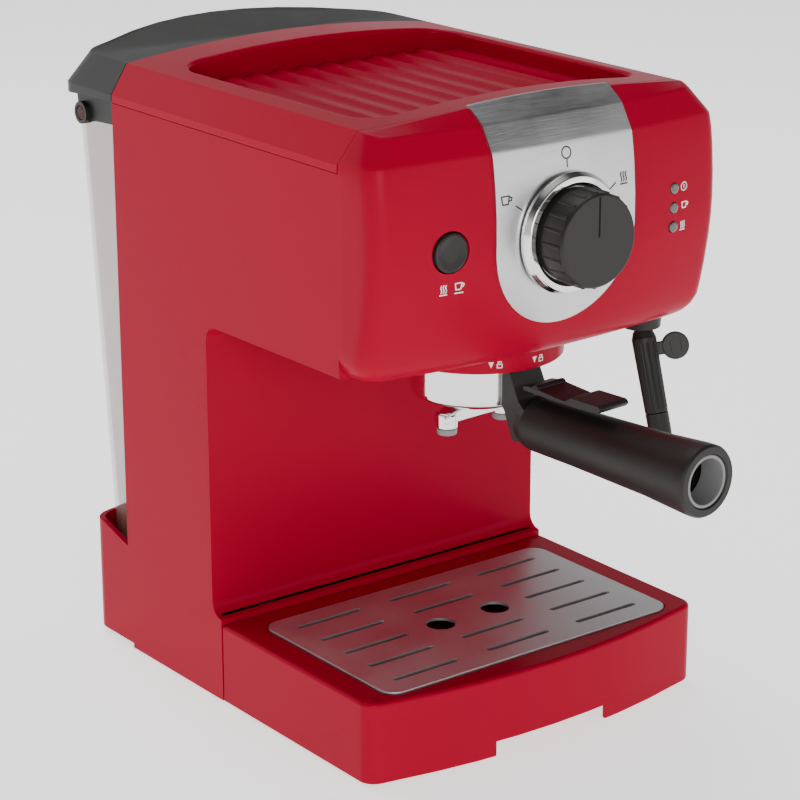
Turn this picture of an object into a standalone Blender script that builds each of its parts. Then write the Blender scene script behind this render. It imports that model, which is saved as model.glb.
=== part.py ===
"""Compact pump espresso machine, built as an assembly of separate pieces.

Frame: +X is the right side seen from the front, +Y runs to the back, +Z is up.
The origin is on the table, under the middle of the assembly's bounding box.
All sizes below are in millimetres; MM turns them into Blender's metres.
"""
import math

import bmesh
import bpy
from mathutils import Matrix, Vector

MM = 0.001

# ---------------------------------------------------------------- overall sizes
BODY_WIDTH = 210.0          # across the two side walls
COLUMN_FRONT_Y = 23.0       # front face of the column
COLUMN_REAR_Y = 103.6       # rear edge of the side walls, where the tank begins
HEAD_SEAM_Y = -88.0         # where the front panel meets the housing and the cover
HEAD_FRONT_Y = -124.5       # foremost point of the front panel
FRONT_BOW = 6.5             # how far the front's outer ends lie behind its middle
FRONT_CORNER = 11.0         # radius of the front's upright corners
HEAD_BOTTOM_Z = 200.0       # underside of the head
COVER_SEAM_Z = 297.0        # where the top cover's skirt ends on the side walls
CHAMFER_LOW_Z = 300.7       # lower edge of the chamfer round the top
CHAMFER_TOP_Z = 315.7       # upper edge of the chamfer
CHAMFER_INSET = 9.7         # how far the chamfer leans in
CROWN = 6.5                 # rise of the top from its edges to its middle
WALL = 3.0                  # housing walls
PANEL_WALL = 2.8            # front panel wall
GAP = 0.3                   # between neighbouring pieces that touch
HOUSING_BOTTOM_Z = 1.5      # lower edge of the side walls
STEP_Y = 101.0              # behind this the housing's lower edge is raised
STEP_BOTTOM_Z = 4.0

# ---------------------------------------------------------------- base and cradle
FOOT_Y = 15.3               # the column's foot reaches forward to here
FOOT_TOP_Z = 46.0           # top of the foot's straight front
FOOT_FILLET = 7.7           # sweep from the foot up into the column front
CRADLE_TOP_Z = 59.0         # tank cradle height beside the column
CRADLE_REAR_Z = 66.0        # tank cradle height at the back
CRADLE_SIDE_Y = 129.0       # where the cradle's corners start
CRADLE_CORNER = 14.0
CRADLE_REAR_Y = 158.0       # middle of the bowed rear wall
PLATE_BOTTOM_Z = 3.0        # base plate
PLATE_THICK = 3.0
DECK_FRONT_Y = -100.0       # the base plate runs forward under the tray
DECK_CLEARANCE = 4.0        # between the deck's sides and the tray's outside
FOOT_RADIUS = 9.0           # rubber feet
FOOT_X = 80.0
FRONT_FOOT_Y = -86.0
REAR_FOOT_Y = 122.0
SCREW_X = 97.4
SCREW_Y = (33.0, 91.0)
SCREW_HEAD_RADIUS = 3.6
SCREW_SHANK_RADIUS = 1.8
SCREW_LENGTH = 16.0
BOSS_RADIUS = 5.0
BOSS_TOP_Z = 26.0

# ---------------------------------------------------------------- drip tray
TRAY_TOP_Z = 43.7
TRAY_BOTTOM_Z = 1.5
TRAY_REAR_Y = 14.6
TRAY_CORNER_Y = -112.0      # front corners before rounding
TRAY_FRONT_Y = -122.0       # middle of the bowed front
TRAY_CORNER = 10.0
TRAY_WALL = 2.6
TRAY_FLOOR_Z = 10.0
TRAY_FLOOR = 2.4
NOTCH_HALF_WIDTH = 35.0     # finger notch at the bottom of the tray's front
NOTCH_TOP_Z = 9.2
GRILLE_HALF_WIDTH = 90.4
GRILLE_REAR_Y = 0.6
GRILLE_FRONT_Y = -107.0
GRILLE_CORNER = 8.0
GRILLE_THICK = 1.4
GRILLE_TOP_Z = 44.6
SLOT_LENGTH = 40.0
SLOT_WIDTH = 2.6
SLOT_PITCH_X = 58.0
SLOT_PITCH_Y = 20.0
DRAIN_HOLE_RADIUS = 7.5
DRAIN_HOLE_X = 17.6

# ---------------------------------------------------------------- water tank and its lid
TANK_HALF_WIDTH = 98.0
TANK_FRONT_Y = 106.2
TANK_BOTTOM_Z = 52.5
TANK_TOP_Z = 292.5
TANK_WALL = 2.2
TANK_CORNER = 14.0
TANK_TOP_REAR_Y = 171.0     # middle of the rear wall at the rim
TANK_TOP_SIDE_Y = 144.0     # where the rear corners start at the rim
TANK_TAPER = 22.0           # the rear wall comes forward by this towards the bottom
TANK_SEAT_THICK = 3.0
VALVE_X = 0.0
VALVE_Y = 126.0
VALVE_RADIUS = 9.0
VALVE_TRAVEL = 3.0
PLUNGER_RADIUS = 4.4
LID_WALL = 2.5
LID_FRONT_Y = 104.2
LID_SIDE_Y = 143.0
LID_REAR_Y = 178.0
LID_CORNER = 15.0
LID_SKIRT_REAR_DROP = 3.5   # the skirt is this much lower at the back
LID_PANEL_SINK = 1.0        # sunk panel inside the lid's raised rim
LID_RIM = 9.0
HINGE_Y = 137.0
HINGE_Z = 286.0
EAR_THICK = 2.4
EAR_CLEARANCE = 0.5
HINGE_BOSS_RADIUS = 5.8
HINGE_BOSS_LENGTH = 5.2
HINGE_PIN_RADIUS = 3.6

# ---------------------------------------------------------------- brew group
GROUP_Y = -57.5             # axis of the brew group
COLLAR_RADIUS = 43.6
COLLAR_BOTTOM_Z = 188.0
GROUP_RADIUS = 40.4
HOLDER_RADIUS = 32.0
HOLDER_BOTTOM_Z = 167.0
HOLDER_TOP_Z = 195.0
HOLDER_WALL = 2.2
LUG_REACH = 4.2
LUG_THICK = 3.6
LUG_SPAN = math.radians(34.0)
UNLOCK_TURN = math.radians(35.0)
SPOUT_X = 18.6
SPOUT_BOTTOM_Z = 151.5
SPOUT_RADIUS = 4.8
TIP_BOTTOM_Z = 148.0
TIP_RADIUS = 5.0
HANDLE_TURN = math.radians(4.0)     # locked handle stands this far right of straight ahead
HANDLE_AXIS_Z = 160.5
HANDLE_END = 155.5          # from the group axis to the end of the grip
HANDLE_ROOT = 33.5
HANDLE_ROOT_RADIUS = 13.5
HANDLE_END_RADIUS = 17.4
HANDLE_RECESS_RADIUS = 12.8
HANDLE_RECESS_DEPTH = 34.0
NECK_WIDTH = 21.0
NECK_TOP_Z = 187.2
CLIP_PIVOT = 52.0           # clip pivot from the group axis, along the handle
CLIP_PIVOT_Z = 181.0

# ---------------------------------------------------------------- controls
PLATE_HALF_WIDTH = 42.0
PLATE_TIP_Z = 217.0
PLATE_GAUGE = 0.9
PLATE_LIFT = 0.4            # clearance between the plate and the panel behind it
PLATE_TOP_Y = -101.8
KNOB_Z = 261.0
KNOB_RADIUS = 23.3
KNOB_DEPTH = 16.0
KNOB_FLUTES = 20
FLUTE_DEPTH = 1.2
BEZEL_RADIUS = 29.0
BEZEL_INNER = 22.4
BEZEL_DEPTH = 5.0
SHAFT_RADIUS = 4.0
SHAFT_LENGTH = 20.0         # behind the front face
SWITCH_DEPTH = 20.0
BUTTON_X = -66.0
BUTTON_Z = 261.0
BUTTON_RADIUS = 9.3
BUTTON_PROUD = 1.2
BUTTON_TRAVEL = 3.0
LENS_X = 70.5
LENS_Z = (270.3, 260.8, 251.3)
LENS_RADIUS = 2.6
RECESS_HALF_WIDTH = 83.5    # cup-warming recess in the top
RECESS_FRONT_Y = -84.0
RECESS_REAR_Y = 77.0
RECESS_CORNER = 18.0
RECESS_FLOOR_Z = 308.5
RIB_COUNT = 11
RIB_DEPTH = 1.6

# ---------------------------------------------------------------- steam wand
WAND_X = 82.0
WAND_Y = -87.0
BALL_Z = 195.5
BALL_RADIUS = 7.6
WAND_LEAN = math.radians(17.0)
WAND_RADIUS = 5.0
SLEEVE_RADIUS = 6.2
SLEEVE_TOP = 9.0            # distances down the wand from the ball's middle
WAND_END = 80.0
NOZZLE_TOP = 48.0
NOZZLE_END = 86.0
TAB_DOWN = 16.5
TAB_OUT = 15.0
TAB_TURN = math.radians(35.0)      # the tab stands this far forward of straight right
TAB_RADIUS = 7.0
TAB_THICK = 3.4

# ---------------------------------------------------------------- inside pieces
BOILER_RADIUS = 33.0
BOILER_BOTTOM_Z = 216.0
BOILER_HEIGHT = 34.0
CAP_HEIGHT = 10.0
PUMP_X = -48.0
PUMP_Y = 64.0
PUMP_Z = 38.0
PUMP_RADIUS = 22.0
PUMP_LENGTH = 68.0
HOSE_RADIUS = 3.0
CORD_GLAND_X = 70.0
CORD_GLAND_Z = 27.0

STEPS = 24                  # facets round large turned pieces
SMALL_STEPS = 12            # facets round small ones
WELD = 0.002                # points closer than this become one

HALF_WIDTH = BODY_WIDTH / 2
BEND_Y = -103.0             # the flat top begins to bend down here
FRONT_STATIONS = ((HEAD_BOTTOM_Z, -109.0), (HEAD_BOTTOM_Z + 4, -113.5), (HEAD_BOTTOM_Z + 10, -116.5),
                  (HEAD_BOTTOM_Z + 22, -119.0), (240.0, -122.5), (KNOB_Z, HEAD_FRONT_Y), (285.0, -123.5),
                  (CHAMFER_LOW_Z + 2, -120.5), (CHAMFER_TOP_Z - 1.3, -113.5))
HANDLE_RIM_RADIUS = 0.95 * HANDLE_END_RADIUS
FOREMOST_Y = GROUP_Y - HANDLE_END * math.cos(HANDLE_TURN) - HANDLE_RIM_RADIUS * math.sin(HANDLE_TURN)
CENTRE_Y = (FOREMOST_Y + LID_REAR_Y) / 2


# ================================================================ mesh tools
def mesh_from(bm, name="solid"):
    """Turn a bmesh into mesh data with its faces pointing out."""
    bmesh.ops.recalc_face_normals(bm, faces=bm.faces)
    mesh = bpy.data.meshes.new(name)
    bm.to_mesh(mesh)
    bm.free()
    return mesh


def loft(rings):
    """Skin a list of closed rings with the same number of points and cap both ends."""
    bm = bmesh.new()
    rows = [[bm.verts.new(point) for point in ring] for ring in rings]
    count = len(rows[0])
    for low, high in zip(rows, rows[1:]):
        for i in range(count):
            j = (i + 1) % count
            bm.faces.new((low[i], low[j], high[j], high[i]))
    bm.faces.new(rows[0])
    bm.faces.new(rows[-1])
    return mesh_from(bm)


def prism(points, axis, low, high):
    """Extrude a flat outline along X, Y or Z. The outline holds the other two coordinates."""
    order = {"X": lambda p, h: (h, p[0], p[1]),
             "Y": lambda p, h: (p[0], h, p[1]),
             "Z": lambda p, h: (p[0], p[1], h)}[axis]
    return loft([[order(point, height) for point in points] for height in (low, high)])


def box(low, high):
    """A plain block between two corners."""
    outline = [(low[0], low[1]), (high[0], low[1]), (high[0], high[1]), (low[0], high[1])]
    return prism(outline, "Z", low[2], high[2])


def turned(profile, steps, closed=False):
    """Turn a profile of (radius, height) points about Z.

    An open profile starts and ends on the axis; a closed one makes a ring.
    """
    bm = bmesh.new()
    rows = []
    for radius, height in profile:
        if radius < 1e-6:
            rows.append([bm.verts.new((0.0, 0.0, height))])
        else:
            rows.append([bm.verts.new((radius * math.cos(2 * math.pi * i / steps),
                                       radius * math.sin(2 * math.pi * i / steps), height))
                         for i in range(steps)])
    pairs = list(zip(rows, rows[1:]))
    if closed:
        pairs.append((rows[-1], rows[0]))
    for low, high in pairs:
        for i in range(steps):
            j = (i + 1) % steps
            corners = [low[i % len(low)], low[j % len(low)], high[j % len(high)], high[i % len(high)]]
            unique = list(dict.fromkeys(corners))
            if len(unique) > 2:
                bm.faces.new(unique)
    return mesh_from(bm)


def rod(radius, length, steps=SMALL_STEPS):
    """A solid cylinder from height 0 to length."""
    return turned([(0, 0), (radius, 0), (radius, length), (0, length)], steps)


def moved(mesh, matrix):
    """Place mesh data by a matrix."""
    mesh.transform(matrix)
    return mesh


def shift(x, y, z):
    return Matrix.Translation((x, y, z))


def along_y(x, y, z):
    """Send +Z to -Y (towards the user) and put the start at a point."""
    return shift(x, y, z) @ Matrix.Rotation(math.radians(90), 4, "X")


def along_x(x, y, z):
    """Send +Z to +X and put the start at a point."""
    return shift(x, y, z) @ Matrix.Rotation(math.radians(90), 4, "Y")


def combine(mesh, tool, operation):
    """Apply one exact Boolean between two meshes and return the new mesh."""
    base = bpy.data.objects.new("base", mesh)
    other = bpy.data.objects.new("tool", tool)
    for piece in (base, other):
        bpy.context.scene.collection.objects.link(piece)
    modifier = base.modifiers.new("cut", "BOOLEAN")
    modifier.operation = operation
    modifier.solver = "EXACT"
    modifier.object = other
    graph = bpy.context.evaluated_depsgraph_get()
    result = bpy.data.meshes.new_from_object(base.evaluated_get(graph))
    for piece in (base, other):
        bpy.data.objects.remove(piece)
    bpy.data.meshes.remove(mesh)
    bpy.data.meshes.remove(tool)
    return tidied(result)


def tidied(mesh):
    """Weld the hair-thin edges that a Boolean can leave."""
    bm = bmesh.new()
    bm.from_mesh(mesh)
    bmesh.ops.remove_doubles(bm, verts=bm.verts, dist=WELD)
    bmesh.ops.dissolve_degenerate(bm, edges=bm.edges, dist=WELD)
    bm.to_mesh(mesh)
    bm.free()
    return mesh


def cut(mesh, *tools):
    for tool in tools:
        mesh = combine(mesh, tool, "DIFFERENCE")
    return mesh


def join(mesh, *tools):
    for tool in tools:
        mesh = combine(mesh, tool, "UNION")
    return mesh


def common(mesh, tool):
    return combine(mesh, tool, "INTERSECT")


def material(name, colour, roughness, metallic=0.0, alpha=1.0):
    """A plain Principled material."""
    made = bpy.data.materials.new(name)
    made.use_nodes = True
    shader = made.node_tree.nodes["Principled BSDF"]
    shader.inputs["Base Color"].default_value = (*colour, 1.0)
    shader.inputs["Roughness"].default_value = roughness
    shader.inputs["Metallic"].default_value = metallic
    shader.inputs["Alpha"].default_value = alpha
    made.diffuse_color = (*colour, alpha)
    return made


def frame_at(name, origin, parent=None):
    """An empty on a joint's axis, or the machine's own frame."""
    empty = bpy.data.objects.new(name, None)
    bpy.context.scene.collection.objects.link(empty)
    empty["origin"] = tuple(origin)
    offset = Vector(parent["origin"]) if parent else Vector((0.0, 0.0, 0.0))
    empty.location = (Vector(origin) - offset) * MM
    empty.parent = parent
    return empty


def part(name, mesh, finish, parent, origin=None, sharp=35.0):
    """Make one named piece from mesh data in machine coordinates."""
    base = Vector(parent["origin"])
    origin = base if origin is None else Vector(origin)
    mesh.transform(Matrix.Scale(MM, 4) @ Matrix.Translation(-origin))
    mesh.name = name
    mesh.materials.clear()
    mesh.materials.append(finish)
    mesh.shade_smooth()
    mesh.set_sharp_from_angle(angle=math.radians(sharp))
    piece = bpy.data.objects.new(name, mesh)
    bpy.context.scene.collection.objects.link(piece)
    piece.location = (origin - base) * MM
    piece.parent = parent
    return piece


# ================================================================ outlines
def arc(centre, radius, start, end, count):
    """Points on an arc, angles in degrees."""
    return [(centre[0] + radius * math.cos(math.radians(start + (end - start) * i / count)),
             centre[1] + radius * math.sin(math.radians(start + (end - start) * i / count)))
            for i in range(count + 1)]


def bowed_end(half_width, side_y, middle_y, corner, count=8):
    """Right half and left half of a bowed end with rounded corners, from +X side to -X side.

    side_y is where the corners start; middle_y is the bow's middle, ahead or behind it.
    """
    way = 1.0 if middle_y > side_y else -1.0
    inner = half_width - corner
    edge_y = side_y + way * corner * 0.86
    points = [(inner + corner * math.cos(math.radians(a)), side_y + way * corner * 0.86 * math.sin(math.radians(a)))
              for a in range(0, 76, 15)]
    start_x = inner * 0.96
    for i in range(count + 1):
        x = start_x * (1 - 2 * i / count)
        rise = (middle_y - edge_y) * (1 - (x / inner) ** 2)
        points.append((x, edge_y + rise))
    points += [(-x, y) for x, y in reversed(points[:6])]
    return points


def body_plan(half_width, front_y, side_y, rear_y, corner):
    """Closed plan outline with a straight front and a bowed rear."""
    return [(-half_width, front_y), (half_width, front_y)] + bowed_end(half_width, side_y, rear_y, corner)


def rounded_rectangle(half_width, low_y, high_y, corner, count=5):
    points = []
    corners = ((half_width - corner, low_y + corner, -90), (half_width - corner, high_y - corner, 0),
               (-half_width + corner, high_y - corner, 90), (-half_width + corner, low_y + corner, 180))
    for x, y, start in corners:
        points += arc((x, y), corner, start, start + 90, count)
    return points


def crown_rise(x, half_width):
    """Height of the crowned top above its edges at x."""
    return CROWN * (1 - (x / half_width) ** 2)


def top_section(inset):
    """Cross-section of the top in X and Z; inset moves it inwards by a wall."""
    edge = HALF_WIDTH - CHAMFER_INSET
    low = COVER_SEAM_Z if inset == 0 else COVER_SEAM_Z - 10
    side = HALF_WIDTH - inset
    shoulder = edge - inset * 0.75
    count = 10
    points = [(side, low), (side, CHAMFER_LOW_Z - inset * 0.4)]
    for i in range(count + 1):
        x = shoulder * (1 - 2 * i / count)
        points.append((x, CHAMFER_TOP_Z - inset + crown_rise(x, shoulder)))
    points += [(-side, CHAMFER_LOW_Z - inset * 0.4), (-side, low)]
    return points


# ================================================================ housing
def make_main_housing(machine, red):
    """Side walls, column front, head underside and tank cradle in one moulding."""
    fillet_z = FOOT_TOP_Z + FOOT_FILLET
    sweep = arc((FOOT_Y, fillet_z), FOOT_FILLET, -90, 0, 4)
    top_z = COVER_SEAM_Z - GAP
    outer_side = [(COLUMN_REAR_Y, FOOT_TOP_Z - 6), (COLUMN_REAR_Y, top_z), (HEAD_SEAM_Y, top_z),
                  (HEAD_SEAM_Y, HEAD_BOTTOM_Z)]
    outer_side += arc((COLUMN_FRONT_Y - 8, HEAD_BOTTOM_Z - 8), 8, 90, 0, 3)
    outer_side += [point for point in reversed(sweep)]
    outer_side += [(FOOT_Y, FOOT_TOP_Z - 6)]
    outer = prism(outer_side, "X", -HALF_WIDTH, HALF_WIDTH)
    plan = body_plan(HALF_WIDTH, FOOT_Y, CRADLE_SIDE_Y, CRADLE_REAR_Y, CRADLE_CORNER)
    cradle = body_plan(HALF_WIDTH, COLUMN_REAR_Y - 20, CRADLE_SIDE_Y, CRADLE_REAR_Y, CRADLE_CORNER)
    outer = join(outer, prism(plan, "Z", HOUSING_BOTTOM_Z, FOOT_TOP_Z - 1),
                 prism(cradle, "Z", FOOT_TOP_Z - 2, CRADLE_REAR_Z))

    inner_side = [(COLUMN_REAR_Y + 5, 20.0), (COLUMN_REAR_Y + 5, top_z + 5), (HEAD_SEAM_Y - 5, top_z + 5),
                  (HEAD_SEAM_Y - 5, HEAD_BOTTOM_Z + WALL)]
    inner_side += arc((COLUMN_FRONT_Y + WALL - 8, HEAD_BOTTOM_Z + WALL - 8), 8, 90, 0, 3)
    inner_side += [(y + WALL, z + WALL * 0.4) for y, z in reversed(sweep)]
    inner_side += [(FOOT_Y + WALL, 20.0)]
    hollow = prism(inner_side, "X", -HALF_WIDTH + WALL, HALF_WIDTH - WALL)
    inner_plan = body_plan(HALF_WIDTH - WALL, FOOT_Y + WALL, CRADLE_SIDE_Y - WALL * 0.3,
                           CRADLE_REAR_Y - WALL, CRADLE_CORNER - 1)
    floor_space = prism(inner_plan, "Z", HOUSING_BOTTOM_Z - 5, FOOT_TOP_Z - 8)
    cradle_plan = body_plan(HALF_WIDTH - WALL, COLUMN_REAR_Y - 20, CRADLE_SIDE_Y - WALL * 0.3,
                            CRADLE_REAR_Y - WALL, CRADLE_CORNER - 1)
    cradle_space = prism(cradle_plan, "Z", FOOT_TOP_Z - 9, CRADLE_REAR_Z + 5)
    slope_run = CRADLE_REAR_Y + 10
    rim_slope = [(COLUMN_REAR_Y, CRADLE_TOP_Z), (CRADLE_SIDE_Y, CRADLE_REAR_Z), (slope_run, CRADLE_REAR_Z),
                 (slope_run, CRADLE_REAR_Z + 20), (COLUMN_REAR_Y, CRADLE_REAR_Z + 20)]
    step = [(STEP_Y, HOUSING_BOTTOM_Z - 5), (slope_run, HOUSING_BOTTOM_Z - 5), (slope_run, STEP_BOTTOM_Z),
            (STEP_Y, STEP_BOTTOM_Z)]
    reach = HALF_WIDTH + 5
    deck_half = HALF_WIDTH - DECK_CLEARANCE - WALL + GAP
    deck_slot = box((-deck_half, FOOT_Y - 1, HOUSING_BOTTOM_Z - 5),
                    (deck_half, FOOT_Y + WALL + 1, PLATE_BOTTOM_Z + PLATE_THICK + GAP))
    mesh = cut(outer, hollow, floor_space, cradle_space, deck_slot,
               prism(rim_slope, "X", -reach, reach), prism(step, "X", -reach, reach))

    floor_front = head_plan(PANEL_WALL + 0.5, HEAD_BOTTOM_Z)
    apron = [(x, y) for x, y in floor_front] + [(HALF_WIDTH - WALL, HEAD_SEAM_Y + 6),
                                               (-HALF_WIDTH + WALL, HEAD_SEAM_Y + 6)]
    mesh = join(mesh, prism(apron, "Z", HEAD_BOTTOM_Z + GAP, HEAD_BOTTOM_Z + WALL))
    for x in (-SCREW_X, SCREW_X):
        for y in SCREW_Y:
            boss_bottom = PLATE_BOTTOM_Z + PLATE_THICK + GAP
            boss = moved(rod(BOSS_RADIUS, BOSS_TOP_Z - boss_bottom, 12), shift(x, y, boss_bottom))
            bore = moved(rod(SCREW_SHANK_RADIUS + GAP, SCREW_LENGTH + 2, 12), shift(x, y, boss_bottom - 1))
            mesh = cut(join(mesh, boss), bore)
    group_hole = moved(rod(GROUP_RADIUS + GAP, 20, STEPS), shift(0, GROUP_Y, HEAD_BOTTOM_Z - 8))
    wand_hole = moved(rod(BALL_RADIUS + 3.4, 20, STEPS), shift(WAND_X, WAND_Y, HEAD_BOTTOM_Z - 8))
    gland_hole = moved(rod(6.3, 30), along_y(CORD_GLAND_X, CRADLE_REAR_Y + 8, CORD_GLAND_Z))
    return part("main_housing", cut(mesh, group_hole, wand_hole, gland_hole), red, machine)


def head_plan(inset, z):
    """The front panel's plan from its left seam round the front to its right seam at height z."""
    front = front_line(z) + inset
    roll = edge_roll(z)
    side = HALF_WIDTH - roll - inset
    corner = FRONT_CORNER
    inner = side - corner
    corner_y = front + FRONT_BOW + corner
    strip_end = min(corner_y + 4, HEAD_SEAM_Y - 1.5)
    left = [(-side, HEAD_SEAM_Y), (-side + 0.8, strip_end)]
    left += [(-inner + corner * math.cos(math.radians(a)) * 0.94, corner_y + corner * math.sin(math.radians(a)))
             for a in (200, 221, 242, 264)]
    count = 10
    middle = []
    for i in range(1, count):
        x = inner * (2 * i / count - 1)
        middle.append((x, front + FRONT_BOW * (x / inner) ** 2))
    return left + middle + [(-x, y) for x, y in reversed(left)]


def front_line(z):
    """Y of the front panel's middle at height z: a soft bow from bottom to top."""
    if z <= FRONT_STATIONS[0][0]:
        return FRONT_STATIONS[0][1]
    for (z0, y0), (z1, y1) in zip(FRONT_STATIONS, FRONT_STATIONS[1:]):
        if z <= z1:
            return y0 + (y1 - y0) * (z - z0) / (z1 - z0)
    return FRONT_STATIONS[-1][1]


def edge_roll(z):
    """How far the sides come in at the rounded bottom and on the chamfer."""
    if z < HEAD_BOTTOM_Z + 10:
        return 7.0 * ((HEAD_BOTTOM_Z + 10 - z) / 10) ** 2
    if z > CHAMFER_LOW_Z:
        return CHAMFER_INSET * (z - CHAMFER_LOW_Z) / (CHAMFER_TOP_Z - CHAMFER_LOW_Z)
    return 0.0


def nose_block(inset, rear_y, low_z):
    """Solid nose of the head: plan outlines stacked from the bottom lip to the crowned top."""
    levels = [low_z] + [z for z, y in FRONT_STATIONS[1:-1]] + [FRONT_STATIONS[-1][0] - inset * 0.5]
    rings = []
    for z in levels:
        plan = head_plan(inset, z)
        plan[0] = (plan[0][0], rear_y)
        plan[-1] = (plan[-1][0], rear_y)
        rings.append([(x, y, z) for x, y in plan])
    shoulder = HALF_WIDTH - CHAMFER_INSET - inset
    top = []
    for x, y, z in rings[-1]:
        x = max(-shoulder, min(shoulder, x * 0.98))
        if y < HEAD_SEAM_Y - 3:
            y = max(y, BEND_Y + inset)
        top.append((x, y, CHAMFER_TOP_Z - inset + crown_rise(x, shoulder)))
    rings.append(top)
    return loft(rings)


def make_front_panel(machine, red):
    """The bowed front of the head, open at the back and below."""
    outer = nose_block(0.0, HEAD_SEAM_Y - GAP, HEAD_BOTTOM_Z)
    inner = nose_block(PANEL_WALL, HEAD_SEAM_Y + 8, HEAD_BOTTOM_Z - 1)
    mesh = cut(outer, inner)
    shaft_hole = moved(rod(SHAFT_RADIUS + 1.6, 40), along_y(0, HEAD_SEAM_Y - 12, KNOB_Z))
    button_hole = moved(rod(BUTTON_RADIUS + 0.5, 40, 24), along_y(BUTTON_X, HEAD_SEAM_Y - 12, BUTTON_Z))
    mesh = cut(mesh, shaft_hole, button_hole)
    for z in LENS_Z:
        mesh = cut(mesh, moved(rod(LENS_RADIUS + GAP, 40, 12), along_y(LENS_X, HEAD_SEAM_Y - 12, z)))
    return part("front_panel", mesh, red, machine)


def panel_rows():
    """Points (z, y) up the panel's middle and over its bend, with the outward normal at each."""
    rows = [(z, y) for z, y in FRONT_STATIONS[2:]]
    rows += [(CHAMFER_TOP_Z + CROWN, BEND_Y), (CHAMFER_TOP_Z + CROWN, PLATE_TOP_Y)]
    normals = []
    for i in range(len(rows)):
        z0, y0 = rows[max(i - 1, 0)]
        z1, y1 = rows[min(i + 1, len(rows) - 1)]
        normals.append(Vector((0.0, y0 - y1, z1 - z0)).normalized())
    return rows, [Vector((0.0, -normal.z, -normal.y)) for normal in normals]


def make_control_plate(machine, steel):
    """Thin steel sheet that follows the panel from the seam over the bend to a round lower end."""
    columns = [PLATE_HALF_WIDTH * (i / 3 - 1) for i in range(7)]
    rows, normals = panel_rows()
    rings = []
    for (z, y), normal in zip(rows, normals):
        inner = HALF_WIDTH - edge_roll(z) - FRONT_CORNER
        over_bend = z > CHAMFER_TOP_Z
        base = []
        for x in columns:
            drop = CROWN - crown_rise(x, HALF_WIDTH - CHAMFER_INSET) if over_bend else 0.0
            bow = 0.0 if over_bend else FRONT_BOW * (x / inner) ** 2
            base.append(Vector((x, y + bow, z - drop)))
        ring = [point + normal * PLATE_LIFT for point in base]
        ring += [point + normal * (PLATE_LIFT + PLATE_GAUGE) for point in reversed(base)]
        rings.append(ring)
    sheet = loft(rings)
    tip_centre = PLATE_TIP_Z + PLATE_HALF_WIDTH
    below = [(-PLATE_HALF_WIDTH - 2, tip_centre)]
    below += arc((0, tip_centre), PLATE_HALF_WIDTH, 180, 360, 20)
    below += [(PLATE_HALF_WIDTH + 2, tip_centre), (PLATE_HALF_WIDTH + 2, HEAD_BOTTOM_Z),
              (-PLATE_HALF_WIDTH - 2, HEAD_BOTTOM_Z)]
    hole = moved(rod(SHAFT_RADIUS + 1.6, 40), along_y(0, HEAD_SEAM_Y - 12, KNOB_Z))
    mesh = cut(sheet, prism(below, "Y", HEAD_FRONT_Y - 10, HEAD_SEAM_Y), hole)
    return part("control_plate", mesh, steel, machine)


def make_top_cover(machine, red):
    """Crowned top with chamfered sides and a ribbed cup-warming recess."""
    front = HEAD_SEAM_Y
    rear = COLUMN_REAR_Y
    outer = prism(top_section(0.0), "Y", front, rear)
    hollow = prism(top_section(WALL), "Y", front - 5, rear + 5)
    well = rounded_rectangle(RECESS_HALF_WIDTH + 2, RECESS_FRONT_Y - 2, RECESS_REAR_Y + 2, RECESS_CORNER + 2)
    hollow = cut(hollow, prism(well, "Z", RECESS_FLOOR_Z - RIB_DEPTH - 2.5, 330.0))
    mesh = cut(outer, hollow)
    floor = [(RECESS_HALF_WIDTH + 5, 340.0), (-RECESS_HALF_WIDTH - 5, 340.0)]
    pitch = 2 * RECESS_HALF_WIDTH / RIB_COUNT
    floor.append((-RECESS_HALF_WIDTH - 5, RECESS_FLOOR_Z))
    for rib in range(RIB_COUNT):
        start = -RECESS_HALF_WIDTH + rib * pitch
        for share in (0.0, 0.3, 0.62, 0.9):
            wave = RIB_DEPTH * math.sin(math.pi * share)
            floor.append((start + share * pitch, RECESS_FLOOR_Z - wave))
    floor.append((RECESS_HALF_WIDTH + 5, RECESS_FLOOR_Z))
    ribs = prism(floor, "Y", RECESS_FRONT_Y - 5, RECESS_REAR_Y + 5)
    pocket = rounded_rectangle(RECESS_HALF_WIDTH, RECESS_FRONT_Y, RECESS_REAR_Y, RECESS_CORNER)
    ribs = common(ribs, prism(pocket, "Z", RECESS_FLOOR_Z - 10, 340.0))
    return part("top_cover", cut(mesh, ribs), red, machine)


def make_rear_panel(machine, red):
    """Upright wall between the works and the tank."""
    side = HALF_WIDTH - WALL - GAP
    low = PLATE_BOTTOM_Z + PLATE_THICK + GAP
    top = COVER_SEAM_Z - 1.0
    mesh = box((-side, COLUMN_REAR_Y - 3.3, low), (side, COLUMN_REAR_Y - GAP, top))
    hose_hole = moved(rod(HOSE_RADIUS + 1.0, 20), along_y(VALVE_X, COLUMN_REAR_Y + 8, 30.0))
    wire_hole = moved(rod(5.0, 20), along_y(CORD_GLAND_X, COLUMN_REAR_Y + 8, CORD_GLAND_Z))
    return part("rear_panel", cut(mesh, hose_hole, wire_hole), red, machine)


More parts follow.
